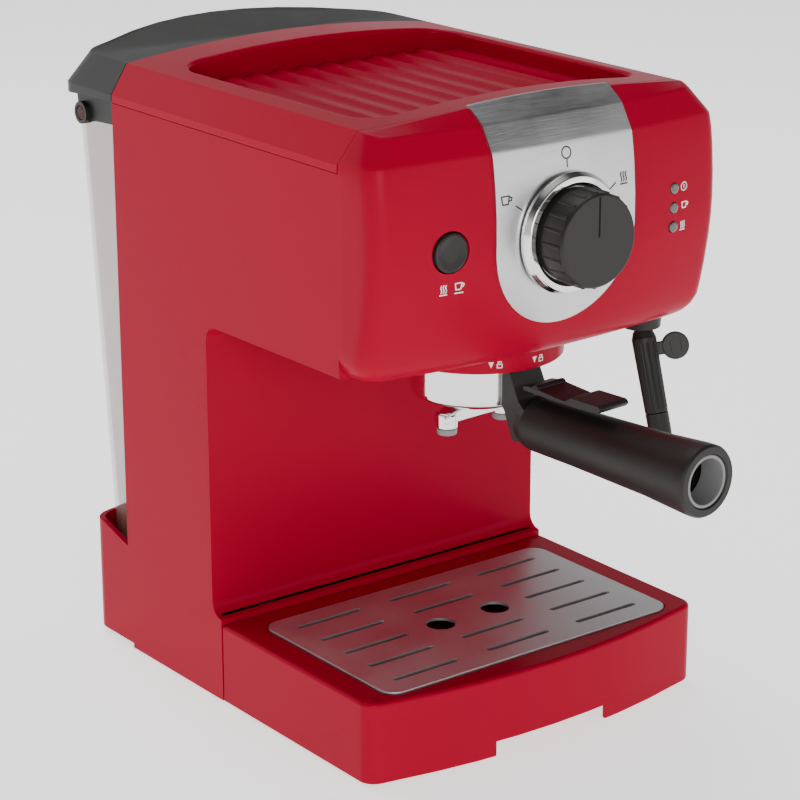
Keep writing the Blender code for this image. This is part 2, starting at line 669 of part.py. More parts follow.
def make_base(machine, dark, rubber, steel):
    """Bottom plate with its feet and screws."""
    side = HALF_WIDTH - WALL - GAP
    deck_side = HALF_WIDTH - DECK_CLEARANCE - WALL
    shoulder_y = FOOT_Y + WALL + GAP
    low = PLATE_BOTTOM_Z
    high = PLATE_BOTTOM_Z + PLATE_THICK
    plan = [(-side, shoulder_y), (-deck_side, shoulder_y), (-deck_side, DECK_FRONT_Y), (deck_side, DECK_FRONT_Y),
            (deck_side, shoulder_y), (side, shoulder_y)]
    plan += bowed_end(side, CRADLE_SIDE_Y - WALL * 0.3 - 0.5, CRADLE_REAR_Y - WALL - GAP - 0.2, CRADLE_CORNER - 1)
    mesh = prism(plan, "Z", low, high)
    mesh = cut(mesh, box((-HALF_WIDTH, STEP_Y, low - 5), (HALF_WIDTH, CRADLE_REAR_Y + 5, STEP_BOTTOM_Z + GAP)))
    for x in (-SCREW_X, SCREW_X):
        for y in SCREW_Y:
            mesh = cut(mesh, moved(rod(SCREW_SHANK_RADIUS + GAP, 10, 12), shift(x, y, low - 2)),
                       moved(rod(SCREW_HEAD_RADIUS + GAP, 4.4, 12), shift(x, y, low - 3)))
    for x in (-FOOT_X, FOOT_X):
        for y in (FRONT_FOOT_Y, REAR_FOOT_Y):
            mesh = cut(mesh, moved(rod(3.3, 20, 12), shift(x, y, low - 5)))
    part("base_plate", mesh, dark, machine)

    places = {"front_left": (-FOOT_X, FRONT_FOOT_Y), "front_right": (FOOT_X, FRONT_FOOT_Y),
              "rear_left": (-FOOT_X, REAR_FOOT_Y), "rear_right": (FOOT_X, REAR_FOOT_Y)}
    for name, (x, y) in places.items():
        top = (low if y < STEP_Y else STEP_BOTTOM_Z + GAP) - GAP
        profile = [(0, 0), (FOOT_RADIUS - 1, 0), (FOOT_RADIUS, 1), (FOOT_RADIUS, top), (3.0, top),
                   (3.0, high - 1.2), (0, high - 1.2)]
        part("foot_" + name, moved(turned(profile, 20), shift(x, y, 0)), rubber, machine, (x, y, 0))

    corners = {"front_left": (-SCREW_X, SCREW_Y[0]), "front_right": (SCREW_X, SCREW_Y[0]),
               "rear_left": (-SCREW_X, SCREW_Y[1]), "rear_right": (SCREW_X, SCREW_Y[1])}
    head_low = low - 1.0
    for name, (x, y) in corners.items():
        profile = [(0, head_low), (SCREW_HEAD_RADIUS, head_low), (SCREW_HEAD_RADIUS, head_low + 2.1),
                   (SCREW_SHANK_RADIUS, head_low + 2.1), (SCREW_SHANK_RADIUS, head_low + SCREW_LENGTH),
                   (0, head_low + SCREW_LENGTH + 1)]
        screw = cut(turned(profile, 12), box((-2.4, -0.5, head_low - 1), (2.4, 0.5, head_low + 1)),
                    box((-0.5, -2.4, head_low - 1), (0.5, 2.4, head_low + 1.1)))
        part("base_screw_" + name, moved(screw, shift(x, y, 0)), steel, machine, (x, y, 0))


def make_cord_gland(machine, dark):
    """Flanged bush where the mains lead would leave the back of the base."""
    wall_y = rear_wall_y(CORD_GLAND_X)
    profile = [(3.4, -6.0), (6.0, -6.0), (6.0, 3.6), (9.0, 3.6), (9.0, 6.0), (5.2, 12.0), (3.4, 12.0)]
    mesh = turned(profile, SMALL_STEPS, closed=True)
    place = shift(CORD_GLAND_X, wall_y, CORD_GLAND_Z) @ Matrix.Rotation(math.radians(-90), 4, "X")
    return part("cord_gland", moved(mesh, place), dark, machine, (CORD_GLAND_X, wall_y, CORD_GLAND_Z))


def rear_wall_y(x):
    """Y of the cradle's outer rear wall at x."""
    inner = HALF_WIDTH - CRADLE_CORNER
    edge = CRADLE_SIDE_Y + CRADLE_CORNER * 0.86
    return edge + (CRADLE_REAR_Y - edge) * (1 - (x / inner) ** 2)


# ================================================================ controls
def make_controls(machine, dark, chrome, clear, board, steel):
    """Bezel, knob, push button, lenses and what is behind them."""
    face_y = HEAD_FRONT_Y - PLATE_LIFT - PLATE_GAUGE - GAP
    bezel = [(BEZEL_INNER, 0), (BEZEL_RADIUS, 0.2), (BEZEL_RADIUS, 1.4), (BEZEL_RADIUS - 2.4, BEZEL_DEPTH),
             (BEZEL_INNER + 1.6, BEZEL_DEPTH), (BEZEL_INNER, BEZEL_DEPTH - 1.6)]
    part("knob_bezel", moved(turned(bezel, STEPS + 8, closed=True), along_y(0, face_y, KNOB_Z)), chrome,
         machine, (0, face_y, KNOB_Z))

    knob_frame = frame_at("selector_axis", (0, face_y, KNOB_Z), machine)
    start = 2.0
    rings = []
    facets = KNOB_FLUTES * 2
    for height, scale, flute in ((start, 0.92, 0.0), (start + 0.01, 0.955, 0.0), (BEZEL_DEPTH + 0.8, 0.955, 0.0),
                                 (BEZEL_DEPTH + 1.2, 1.0, FLUTE_DEPTH),
                                 (BEZEL_DEPTH + KNOB_DEPTH - 1.6, 0.985, FLUTE_DEPTH),
                                 (BEZEL_DEPTH + KNOB_DEPTH, 0.93, 0.0)):
        ring = []
        for i in range(facets):
            angle = 2 * math.pi * i / facets
            radius = KNOB_RADIUS * scale - (flute if i % 2 == 0 else 0.0)
            ring.append((radius * math.cos(angle), radius * math.sin(angle), height))
        rings.append(ring)
    knob = loft(rings)
    shaft = SHAFT_LENGTH + start + 1
    knob = join(knob, moved(rod(SHAFT_RADIUS, shaft, SMALL_STEPS), shift(0, 0, -SHAFT_LENGTH)))
    part("selector_knob", moved(knob, along_y(0, face_y, KNOB_Z)), dark, knob_frame)

    switch_y = face_y + 10.0
    body = box((-16, switch_y, KNOB_Z - 14), (16, switch_y + SWITCH_DEPTH, KNOB_Z + 14))
    bore = moved(rod(SHAFT_RADIUS + GAP, 30), along_y(0, face_y + SHAFT_LENGTH + 4, KNOB_Z))
    part("selector_switch", cut(body, bore), board, machine)

    button_y = front_surface_y(BUTTON_X)
    button_frame = frame_at("brew_button_axis", (BUTTON_X, button_y, BUTTON_Z), machine)
    crown = [(0, -16), (3.0, -16), (3.0, -6), (BUTTON_RADIUS, -6), (BUTTON_RADIUS, BUTTON_PROUD - 1.2),
             (BUTTON_RADIUS - 1.2, BUTTON_PROUD), (4.0, BUTTON_PROUD - 0.7), (0, BUTTON_PROUD - 0.9)]
    part("brew_button", moved(turned(crown, 24), along_y(BUTTON_X, button_y, BUTTON_Z)), dark, button_frame)

    board_y = button_y + 16 + BUTTON_TRAVEL + 1.0
    part("brew_switch", box((BUTTON_X - 8, board_y, BUTTON_Z - 6), (BUTTON_X + 8, board_y + 9, BUTTON_Z + 6)),
         board, machine)
    for number, z in enumerate(LENS_Z, 1):
        lens_y = front_surface_y(LENS_X)
        lens = [(0, -6), (LENS_RADIUS, -6), (LENS_RADIUS, 0.2), (LENS_RADIUS * 0.6, 0.7), (0, 0.9)]
        part("indicator_lens_%d" % number, moved(turned(lens, 12), along_y(LENS_X, lens_y, z)), clear,
             machine, (LENS_X, lens_y, z))
    lamp_y = front_surface_y(LENS_X) + 6 + GAP
    part("lamp_board", box((LENS_X - 9, lamp_y, LENS_Z[2] - 9), (LENS_X + 9, lamp_y + 6, LENS_Z[0] + 9)),
         board, machine)


def front_surface_y(x):
    """Y of the front panel's outer face at button height."""
    inner = HALF_WIDTH - FRONT_CORNER
    return front_line(BUTTON_Z) + FRONT_BOW * (x / inner) ** 2


# ================================================================ brew group
def make_group(machine, red, alloy, rubber, steel):
    """Collar, group head, gasket, screen and screw on the group axis."""
    here = (0, GROUP_Y, 0)
    collar_top = HEAD_BOTTOM_Z - GAP
    inner = GROUP_RADIUS + GAP
    collar = [(inner, COLLAR_BOTTOM_Z + 0.4), (COLLAR_RADIUS - 1.2, COLLAR_BOTTOM_Z),
              (COLLAR_RADIUS, COLLAR_BOTTOM_Z + 1.4), (COLLAR_RADIUS, collar_top), (inner, collar_top)]
    part("group_collar", moved(turned(collar, STEPS + 8, closed=True), shift(*here)), red, machine, here)

    ledge_low = COLLAR_BOTTOM_Z + 0.6
    lug_top = HOLDER_TOP_Z
    lug_low = lug_top - LUG_THICK
    ledge_in = HOLDER_RADIUS + 0.6
    groove = HOLDER_RADIUS + LUG_REACH + 0.8
    roof = lug_top + 0.5
    cavity_top = roof + 6.6
    top = BOILER_BOTTOM_Z - 1.0
    profile = [(ledge_in, ledge_low), (GROUP_RADIUS, ledge_low), (GROUP_RADIUS, top), (4.0, top),
               (4.0, cavity_top), (HOLDER_RADIUS - 0.2, cavity_top), (HOLDER_RADIUS - 0.2, roof),
               (groove, roof), (groove, lug_low - 0.3), (ledge_in, lug_low - 0.3)]
    group = turned(profile, STEPS, closed=True)
    for side in (0.0, math.pi):
        wedge = [(0.0, 0.0)]
        centre = side + HANDLE_TURN - UNLOCK_TURN
        reach = groove
        for i in range(7):
            angle = centre + (LUG_SPAN + 0.06) * (i / 6 - 0.5)
            wedge.append((reach * math.cos(angle), reach * math.sin(angle)))
        group = cut(group, prism(wedge, "Z", ledge_low - 2, lug_low + 0.5))
    part("brew_head", moved(group, shift(*here)), alloy, machine, here)

    gasket = [(27.0, roof + 1.2), (HOLDER_RADIUS - 0.5, roof + 1.2), (HOLDER_RADIUS - 0.5, cavity_top - GAP),
              (27.0, cavity_top - GAP)]
    part("group_gasket", moved(turned(gasket, STEPS, closed=True), shift(*here)), rubber, machine, here)
    screen_low = roof + 1.6
    screen = [(2.4, screen_low), (26.2, screen_low), (26.6, screen_low + 2.6), (25.4, screen_low + 2.6),
              (25.0, screen_low + 1.0), (2.4, screen_low + 1.0)]
    part("shower_screen", moved(turned(screen, STEPS, closed=True), shift(*here)), steel, machine, here)
    screw = [(0, screen_low - 1.8), (4.2, screen_low - 1.6), (4.4, screen_low - GAP), (2.0, screen_low - GAP),
             (2.0, cavity_top + 3), (0, cavity_top + 3.6)]
    screw_mesh = cut(turned(screw, SMALL_STEPS), box((-5, -0.5, screen_low - 3), (5, 0.5, screen_low - 1)))
    part("shower_screw", moved(screw_mesh, shift(*here)), steel, machine, here)


def make_portafilter(machine, chrome, steel, dark, grey):
    """Filter holder with its basket, spouts and grip, on the group axis."""
    axis = frame_at("portafilter_axis", (0, GROUP_Y, 0), machine)
    turn = shift(0, GROUP_Y, 0) @ Matrix.Rotation(HANDLE_TURN, 4, "Z")
    inner = HOLDER_RADIUS - HOLDER_WALL
    floor = HOLDER_BOTTOM_Z
    profile = [(2.2, floor - 5.5), (13.0, floor - 5.5), (HOLDER_RADIUS - 7, floor - 2.2),
               (HOLDER_RADIUS - 1, floor + 1.0), (HOLDER_RADIUS, floor + 3.2),
               (HOLDER_RADIUS, HOLDER_TOP_Z), (inner, HOLDER_TOP_Z), (inner, floor + 2.4),
               (12.0, floor - 2.0), (2.2, floor - 2.6)]
    holder = turned(profile, STEPS, closed=True)
    lug_low = HOLDER_TOP_Z - LUG_THICK
    for side in (0.0, math.pi):
        wedge = []
        for i in range(6):
            angle = side + LUG_SPAN * (i / 5 - 0.5)
            wedge.append(((HOLDER_RADIUS + LUG_REACH) * math.cos(angle), (HOLDER_RADIUS + LUG_REACH) * math.sin(angle)))
        for i in range(5, -1, -1):
            angle = side + LUG_SPAN * (i / 5 - 0.5)
            wedge.append(((HOLDER_RADIUS - 1.2) * math.cos(angle), (HOLDER_RADIUS - 1.2) * math.sin(angle)))
        holder = join(holder, prism(wedge, "Z", lug_low, HOLDER_TOP_Z))
    channel = box((-SPOUT_X - 2, -5.5, SPOUT_BOTTOM_Z + 1.5), (SPOUT_X + 2, 5.5, floor - 7))
    stem = moved(rod(8.0, 6, SMALL_STEPS), shift(0, 0, floor - 9.5))
    holder = join(holder, channel, stem)
    for x in (-SPOUT_X, SPOUT_X):
        holder = join(holder, moved(rod(SPOUT_RADIUS + 0.4, 11), shift(x, 0, SPOUT_BOTTOM_Z)))
        holder = cut(holder, moved(rod(2.8, 9), shift(x, 0, SPOUT_BOTTOM_Z - 2)))
    holder = cut(holder, box((-SPOUT_X, -2.6, SPOUT_BOTTOM_Z + 3.6), (SPOUT_X, 2.6, floor - 9.2)),
                 moved(rod(2.2, 12, 12), shift(0, 0, floor - 11)))
    part("filter_holder", moved(holder, turn), chrome, axis)

    rim = HOLDER_TOP_Z + 0.3
    cup = inner - 1.0
    basket = [(0, floor + 5.0), (cup - 4, floor + 5.0), (cup - 2, floor + 7.0), (cup - 1.0, rim),
              (HOLDER_RADIUS - 1.0, rim), (HOLDER_RADIUS - 1.0, rim + 0.8), (cup - 2.0, rim + 0.8),
              (cup - 3.0, floor + 7.6), (cup - 4.6, floor + 6.0), (0, floor + 6.0)]
    part("filter_basket", moved(turned(basket, STEPS), turn), steel, axis)

    for name, x in (("left", -SPOUT_X), ("right", SPOUT_X)):
        tip = [(2.8, TIP_BOTTOM_Z), (TIP_RADIUS - 1.2, TIP_BOTTOM_Z), (TIP_RADIUS, TIP_BOTTOM_Z + 1.6),
               (TIP_RADIUS, SPOUT_BOTTOM_Z - GAP), (2.8, SPOUT_BOTTOM_Z - GAP)]
        part("spout_tip_" + name, moved(turned(tip, SMALL_STEPS, closed=True), turn @ shift(x, 0, 0)), grey, axis)

    part("portafilter_handle", moved(handle_mesh(), turn), dark, axis)

    collar_at = -HANDLE_END + 0.6
    liner = [(HANDLE_RECESS_RADIUS - 1.8, 0), (HANDLE_RECESS_RADIUS - GAP, 0),
             (HANDLE_RECESS_RADIUS - GAP, 14), (HANDLE_RECESS_RADIUS - 1.8, 14)]
    end = turn @ shift(0, collar_at, HANDLE_AXIS_Z) @ Matrix.Rotation(math.radians(-90), 4, "X")
    part("handle_end_liner", moved(turned(liner, 24, closed=True), end), grey, axis)

    pivot = turn @ Vector((0, -CLIP_PIVOT, CLIP_PIVOT_Z))
    clip_frame = frame_at("filter_clip_axis", pivot, axis)
    part("filter_clip", moved(clip_mesh(), turn), dark, clip_frame)


def handle_mesh():
    """Grip with its neck, along -Y from the group axis."""
    stations = ((HANDLE_ROOT + 4, 0.80), (HANDLE_ROOT + 6, 0.96), (HANDLE_ROOT + 12, 1.0),
                (HANDLE_ROOT + 40, 1.03), (HANDLE_ROOT + 90, 1.15))
    profile = [(0, -HANDLE_ROOT - 4)]
    profile += [(HANDLE_ROOT_RADIUS * scale, -distance) for distance, scale in stations]
    profile += [(HANDLE_END_RADIUS, -HANDLE_END + 6), (HANDLE_END_RADIUS, -HANDLE_END + 1.4),
                (HANDLE_RIM_RADIUS, -HANDLE_END)]
    profile += [(HANDLE_RECESS_RADIUS + 0.5, -HANDLE_END), (HANDLE_RECESS_RADIUS, -HANDLE_END + 0.8),
                (HANDLE_RECESS_RADIUS, -HANDLE_END + HANDLE_RECESS_DEPTH),
                (0, -HANDLE_END + HANDLE_RECESS_DEPTH)]
    grip = turned(profile, 24)
    grip = moved(grip, shift(0, 0, HANDLE_AXIS_Z) @ Matrix.Rotation(math.radians(-90), 4, "X"))
    neck_out = HANDLE_ROOT + 16
    half = NECK_WIDTH / 2
    side = [(-HOLDER_RADIUS + 2.0, HOLDER_BOTTOM_Z + 1.0), (-HOLDER_RADIUS + 2.0, NECK_TOP_Z),
            (-HANDLE_ROOT - 1, NECK_TOP_Z), (-HANDLE_ROOT - 8, HANDLE_AXIS_Z + HANDLE_ROOT_RADIUS - 1),
            (-neck_out, HANDLE_AXIS_Z + 6), (-neck_out, HANDLE_AXIS_Z - 6),
            (-HANDLE_ROOT - 4, HANDLE_AXIS_Z - 9), (-HANDLE_ROOT + 2, HOLDER_BOTTOM_Z - 1)]
    neck = prism(side, "X", -half, half)
    neck = cut(neck, moved(rod(HOLDER_RADIUS + GAP, 60, STEPS * 2), shift(0, 0, HOLDER_BOTTOM_Z - 20)))
    pivot_slot = moved(rod(2.9, 30, SMALL_STEPS), along_x(-15, -CLIP_PIVOT, CLIP_PIVOT_Z))
    return cut(join(grip, neck), pivot_slot, box((-11, -CLIP_PIVOT - 6, CLIP_PIVOT_Z - 3.2),
                                                 (11, -CLIP_PIVOT + 12, CLIP_PIVOT_Z + 12)))


def clip_mesh():
    """Filter retaining clip: a curved plate on a cross pin with a raised thumb tab."""
    half = 9.6
    top = [(-CLIP_PIVOT + 8, CLIP_PIVOT_Z - 1.8), (-CLIP_PIVOT + 8, CLIP_PIVOT_Z + 0.4),
           (-CLIP_PIVOT + 2, CLIP_PIVOT_Z + 1.2), (-CLIP_PIVOT - 20, CLIP_PIVOT_Z - 0.4),
           (-CLIP_PIVOT - 24, CLIP_PIVOT_Z + 2.2), (-CLIP_PIVOT - 42, CLIP_PIVOT_Z + 2.4),
           (-CLIP_PIVOT - 44, CLIP_PIVOT_Z + 0.8), (-CLIP_PIVOT - 42, CLIP_PIVOT_Z - 1.4),
           (-CLIP_PIVOT - 24, CLIP_PIVOT_Z - 2.2), (-CLIP_PIVOT - 7, CLIP_PIVOT_Z - 2.0)]
    plate = prism(top, "X", -half, half)
    pin = moved(rod(2.4, 2 * half - 0.4, 12), along_x(-half + 0.2, -CLIP_PIVOT, CLIP_PIVOT_Z))
    return join(plate, pin)


# ================================================================ steam wand
def make_steam_wand(machine, dark, chrome):
    """Ball socket, ball, sleeved wand with its thumb tab, and the sliding frother nozzle."""
    socket = [(BALL_RADIUS - 0.9, BALL_Z - 4.8), (BALL_RADIUS + 2.6, BALL_Z - 3.6), (BALL_RADIUS + 3.0, BALL_Z + 2),
              (BALL_RADIUS + 3.0, HEAD_BOTTOM_Z + 12), (5.0, HEAD_BOTTOM_Z + 12), (5.0, BALL_Z + 8.6),
              (BALL_RADIUS + 0.5, BALL_Z + 5.4), (BALL_RADIUS + 0.5, BALL_Z - 2.4)]
    centre = (WAND_X, WAND_Y, BALL_Z)
    socket_frame = frame_at("wand_turn_axis", centre, machine)
    part("steam_socket", moved(turned(socket, 20, closed=True), shift(WAND_X, WAND_Y, 0)), dark, socket_frame)

    wand_frame = frame_at("wand_tilt_axis", centre, socket_frame)
    lean = shift(*centre) @ Matrix.Rotation(math.pi - WAND_LEAN, 4, "X")
    ball = [(0, -BALL_RADIUS)]
    ball += [(BALL_RADIUS * math.cos(math.radians(a)), BALL_RADIUS * math.sin(math.radians(a)))
             for a in range(-65, 66, 26)]
    ball += [(0, BALL_RADIUS)]
    ball_mesh = turned(ball, 20)
    ball_mesh = cut(ball_mesh, rod(WAND_RADIUS - 1.6, 20, SMALL_STEPS))
    part("wand_ball", moved(ball_mesh, lean), chrome, wand_frame)

    stem = WAND_RADIUS - 2.0
    wand = [(0, 1.0), (stem, 1.0), (stem, SLEEVE_TOP), (SLEEVE_RADIUS - 0.8, SLEEVE_TOP),
            (SLEEVE_RADIUS, SLEEVE_TOP + 1), (SLEEVE_RADIUS - 0.4, NOZZLE_TOP - GAP), (stem, NOZZLE_TOP - GAP),
            (stem, WAND_END), (0, WAND_END)]
    sleeve = turned(wand, SMALL_STEPS)
    for turn in range(8):
        angle = turn * math.pi / 4
        groove = moved(box((-0.7, SLEEVE_RADIUS - 1.1, SLEEVE_TOP + 2), (0.7, SLEEVE_RADIUS + 2, NOZZLE_TOP + 2)),
                       Matrix.Rotation(angle, 4, "Z"))
        sleeve = cut(sleeve, groove)
    tab = moved(rod(TAB_RADIUS, TAB_THICK, 20), shift(TAB_OUT, TAB_THICK / 2 - 1, TAB_DOWN)
                @ Matrix.Rotation(math.radians(90), 4, "X"))
    arm = box((2.0, -TAB_THICK / 2 - 1, TAB_DOWN - 3.4), (TAB_OUT, TAB_THICK / 2 - 1, TAB_DOWN + 3.4))
    forward = Matrix.Rotation(TAB_TURN, 4, "Z")
    tab = moved(tab, forward)
    arm = moved(arm, forward)
    part("steam_wand", moved(join(sleeve, arm, tab), lean), dark, wand_frame)

    nozzle_frame = frame_at("frother_slide_axis", lean @ Vector((0, 0, NOZZLE_TOP)), wand_frame)
    bore = stem + 0.25
    nozzle = [(bore, NOZZLE_TOP), (SLEEVE_RADIUS - 0.4, NOZZLE_TOP), (SLEEVE_RADIUS - 0.4, NOZZLE_END - 3),
              (SLEEVE_RADIUS - 1.8, NOZZLE_END), (bore, NOZZLE_END)]
    part("frother_nozzle", moved(turned(nozzle, SMALL_STEPS, closed=True), lean), dark, nozzle_frame)


# ================================================================ drip tray
def tray_plan(inset):
    half = HALF_WIDTH - inset
    front = bowed_end(half, TRAY_CORNER_Y + TRAY_CORNER, TRAY_FRONT_Y + inset, max(TRAY_CORNER - inset, 2.0))
    return front + [(-half, TRAY_REAR_Y - inset), (half, TRAY_REAR_Y - inset)]


def make_drip_tray(machine, red, steel):
    """Pull-out tray with its lift-off grille."""
    tray_frame = frame_at("drip_tray_slide", (0, TRAY_FRONT_Y, 0), machine)
    bevel = 1.4
    outer = loft([[(x, y, TRAY_BOTTOM_Z) for x, y in tray_plan(0)],
                  [(x, y, TRAY_TOP_Z - bevel) for x, y in tray_plan(0)],
                  [(x, y, TRAY_TOP_Z) for x, y in tray_plan(bevel)]])
    basin = prism(tray_plan(TRAY_WALL), "Z", TRAY_FLOOR_Z + TRAY_FLOOR, TRAY_TOP_Z - 3.0)
    seat = rounded_rectangle(GRILLE_HALF_WIDTH + 0.5, GRILLE_FRONT_Y - 0.5, GRILLE_REAR_Y + 0.5,
                             GRILLE_CORNER + 0.5)
    mouth = rounded_rectangle(GRILLE_HALF_WIDTH - 4, GRILLE_FRONT_Y + 4, GRILLE_REAR_Y - 4, GRILLE_CORNER)
    skirt_plan = tray_plan(TRAY_WALL)
    skirt = prism([(x, y + 40 if y > 0 else y) for x, y in skirt_plan], "Z", TRAY_BOTTOM_Z - 3, TRAY_FLOOR_Z)
    notch = box((-NOTCH_HALF_WIDTH, TRAY_FRONT_Y - 5, TRAY_BOTTOM_Z - 3),
                (NOTCH_HALF_WIDTH, TRAY_CORNER_Y + 8, NOTCH_TOP_Z))
    mesh = cut(outer, basin, prism(seat, "Z", GRILLE_TOP_Z - GRILLE_THICK - GAP, TRAY_TOP_Z + 5),
               prism(mouth, "Z", TRAY_TOP_Z - 6, TRAY_TOP_Z + 5), skirt, notch)
    part("drip_tray", mesh, red, tray_frame)

    grille_frame = frame_at("drip_grille_lift", (0, (GRILLE_FRONT_Y + GRILLE_REAR_Y) / 2, GRILLE_TOP_Z), tray_frame)
    outline = rounded_rectangle(GRILLE_HALF_WIDTH, GRILLE_FRONT_Y, GRILLE_REAR_Y, GRILLE_CORNER)
    grille = prism(outline, "Z", GRILLE_TOP_Z - GRILLE_THICK, GRILLE_TOP_Z)
    middle_y = (GRILLE_FRONT_Y + GRILLE_REAR_Y) / 2
    low = GRILLE_TOP_Z - 5
    high = GRILLE_TOP_Z + 5
    for row in range(-2, 3):
        y = middle_y + row * SLOT_PITCH_Y
        for column in (-1, 0, 1):
            if row == 0 and column == 0:
                continue
            x = column * SLOT_PITCH_X
            grille = cut(grille, box((x - SLOT_LENGTH / 2, y - SLOT_WIDTH / 2, low),
                                     (x + SLOT_LENGTH / 2, y + SLOT_WIDTH / 2, high)))
    for x in (-DRAIN_HOLE_X, DRAIN_HOLE_X):
        grille = cut(grille, moved(rod(DRAIN_HOLE_RADIUS, 10, 20), shift(x, middle_y, low)))
    part("drip_grille", grille, steel, grille_frame)


# ================================================================ water tank
def tank_ring(z, inset):
    """Closed plan outline of the tank at height z."""
    share = (TANK_TOP_Z - z) / (TANK_TOP_Z - TANK_BOTTOM_Z)
    taper = TANK_TAPER * share
    plan = body_plan(TANK_HALF_WIDTH - inset, TANK_FRONT_Y + inset, TANK_TOP_SIDE_Y - taper,
                     TANK_TOP_REAR_Y - taper - inset, TANK_CORNER - inset * 0.3)
    return [(x, y, z) for x, y in plan]


def make_water_tank(machine, clear, dark, steel, rubber):
    """Lift-off tank, its valve, the shelf it stands on and its hinged lid."""
    tank_frame = frame_at("water_tank_lift", (0, VALVE_Y, TANK_BOTTOM_Z), machine)
    outer = loft([tank_ring(TANK_BOTTOM_Z, 2.0), tank_ring(TANK_BOTTOM_Z + 2.0, 0.0), tank_ring(TANK_TOP_Z, 0.0)])
    inner = loft([tank_ring(TANK_BOTTOM_Z + TANK_WALL, 2.0 + TANK_WALL),
                  tank_ring(TANK_BOTTOM_Z + TANK_WALL + 2.0, TANK_WALL), tank_ring(TANK_TOP_Z + 2, TANK_WALL)])
    tank = cut(outer, inner)
    for side in (-1, 1):
        start = side * (TANK_HALF_WIDTH - 1.0)
        length = EAR_CLEARANCE + HINGE_BOSS_LENGTH + 1.0
        pin = rod(HINGE_PIN_RADIUS, length)
        turn = Matrix.Rotation(math.radians(90 * side), 4, "Y")
        tank = join(tank, moved(pin, shift(start, HINGE_Y, HINGE_Z) @ turn))
    seat = moved(rod(VALVE_RADIUS, 8), shift(VALVE_X, VALVE_Y, TANK_BOTTOM_Z + 1))
    bore = moved(rod(PLUNGER_RADIUS + 0.5, 30), shift(VALVE_X, VALVE_Y, TANK_BOTTOM_Z - 5))
    tank = cut(join(tank, seat), bore)
    part("water_tank", tank, clear, tank_frame)

    side = HALF_WIDTH - WALL - GAP
    shelf_plan = body_plan(side, COLUMN_REAR_Y + 0.2, CRADLE_SIDE_Y - WALL * 0.3 - 0.5,
                           CRADLE_REAR_Y - WALL - GAP - 0.2, CRADLE_CORNER - 1)
    shelf_top = TANK_BOTTOM_Z - GAP
    shelf = prism(shelf_plan, "Z", shelf_top - TANK_SEAT_THICK, shelf_top)
    spigot = moved(rod(VALVE_RADIUS, 16), shift(VALVE_X, VALVE_Y, shelf_top - 17))
    drain = moved(rod(4.6, 30), shift(VALVE_X, VALVE_Y, shelf_top - 8))
    outlet = moved(rod(1.8, 30, 12), shift(VALVE_X, VALVE_Y, shelf_top - 25))
    part("tank_shelf", cut(join(shelf, spigot), drain, outlet), dark, machine)

    valve_frame = frame_at("tank_valve_axis", (VALVE_X, VALVE_Y, TANK_BOTTOM_Z), tank_frame)
    low = TANK_BOTTOM_Z - 3.0
    plunger = [(0, low), (2.0, low), (2.0, TANK_BOTTOM_Z + 9.6), (VALVE_RADIUS - 2, TANK_BOTTOM_Z + 9.6),
               (VALVE_RADIUS - 2, TANK_BOTTOM_Z + 12.0), (0, TANK_BOTTOM_Z + 12.6)]
    part("tank_valve", moved(turned(plunger, SMALL_STEPS), shift(VALVE_X, VALVE_Y, 0)), rubber, valve_frame)
    spring = coil(3.3, 0.45, TANK_BOTTOM_Z + 0.8, TANK_BOTTOM_Z + 8.8, 4)
    part("tank_valve_spring", moved(spring, shift(VALVE_X, VALVE_Y, 0)), steel, tank_frame,
         (VALVE_X, VALVE_Y, TANK_BOTTOM_Z), sharp=60.0)

    lid_frame = frame_at("tank_lid_hinge", (0, HINGE_Y, HINGE_Z), tank_frame)
    part("tank_lid", lid_mesh(), dark, lid_frame)


def coil(radius, wire, low, high, turns):
    """A closed compression spring about Z."""
    sides = 5
    steps = turns * 9
    rings = []
    for i in range(steps + 1):
        angle = 2 * math.pi * turns * i / steps
        height = low + wire + (high - low - 2 * wire) * i / steps
        centre = Vector((radius * math.cos(angle), radius * math.sin(angle), height))
        out = Vector((math.cos(angle), math.sin(angle), 0))
        rings.append([centre + wire * (math.cos(2 * math.pi * k / sides) * out
                                       + math.sin(2 * math.pi * k / sides) * Vector((0, 0, 1)))
                      for k in range(sides)])
    return loft(rings)


def lid_ring(half_width, front, side_y, rear, corner, z_of):
    plan = body_plan(half_width, front, side_y, rear, corner)
    return [(x, y, z_of(x, y)) for x, y in plan]


def lid_shape(inset, low_extra):
    """Solid lid: skirt, chamfer and crowned top."""
    top_half = HALF_WIDTH - CHAMFER_INSET - inset
    front = LID_FRONT_Y + inset

    def skirt(x, y):
        share = (y - LID_FRONT_Y) / (LID_REAR_Y - LID_FRONT_Y)
        return COVER_SEAM_Z + 0.6 - LID_SKIRT_REAR_DROP * share - low_extra

    def shoulder(x, y):
        return CHAMFER_LOW_Z - inset * 0.4

    def top(x, y):
        return CHAMFER_TOP_Z - inset + crown_rise(max(-top_half, min(top_half, x)), top_half)

    rear = LID_REAR_Y - inset
    corner = LID_CORNER - inset * 0.4
    return loft([lid_ring(HALF_WIDTH - inset, front, LID_SIDE_Y, rear, corner, skirt),
                 lid_ring(HALF_WIDTH - inset, front, LID_SIDE_Y, rear, corner, shoulder),
                 lid_ring(top_half, front, LID_SIDE_Y - 7, rear - 8, corner, top)])


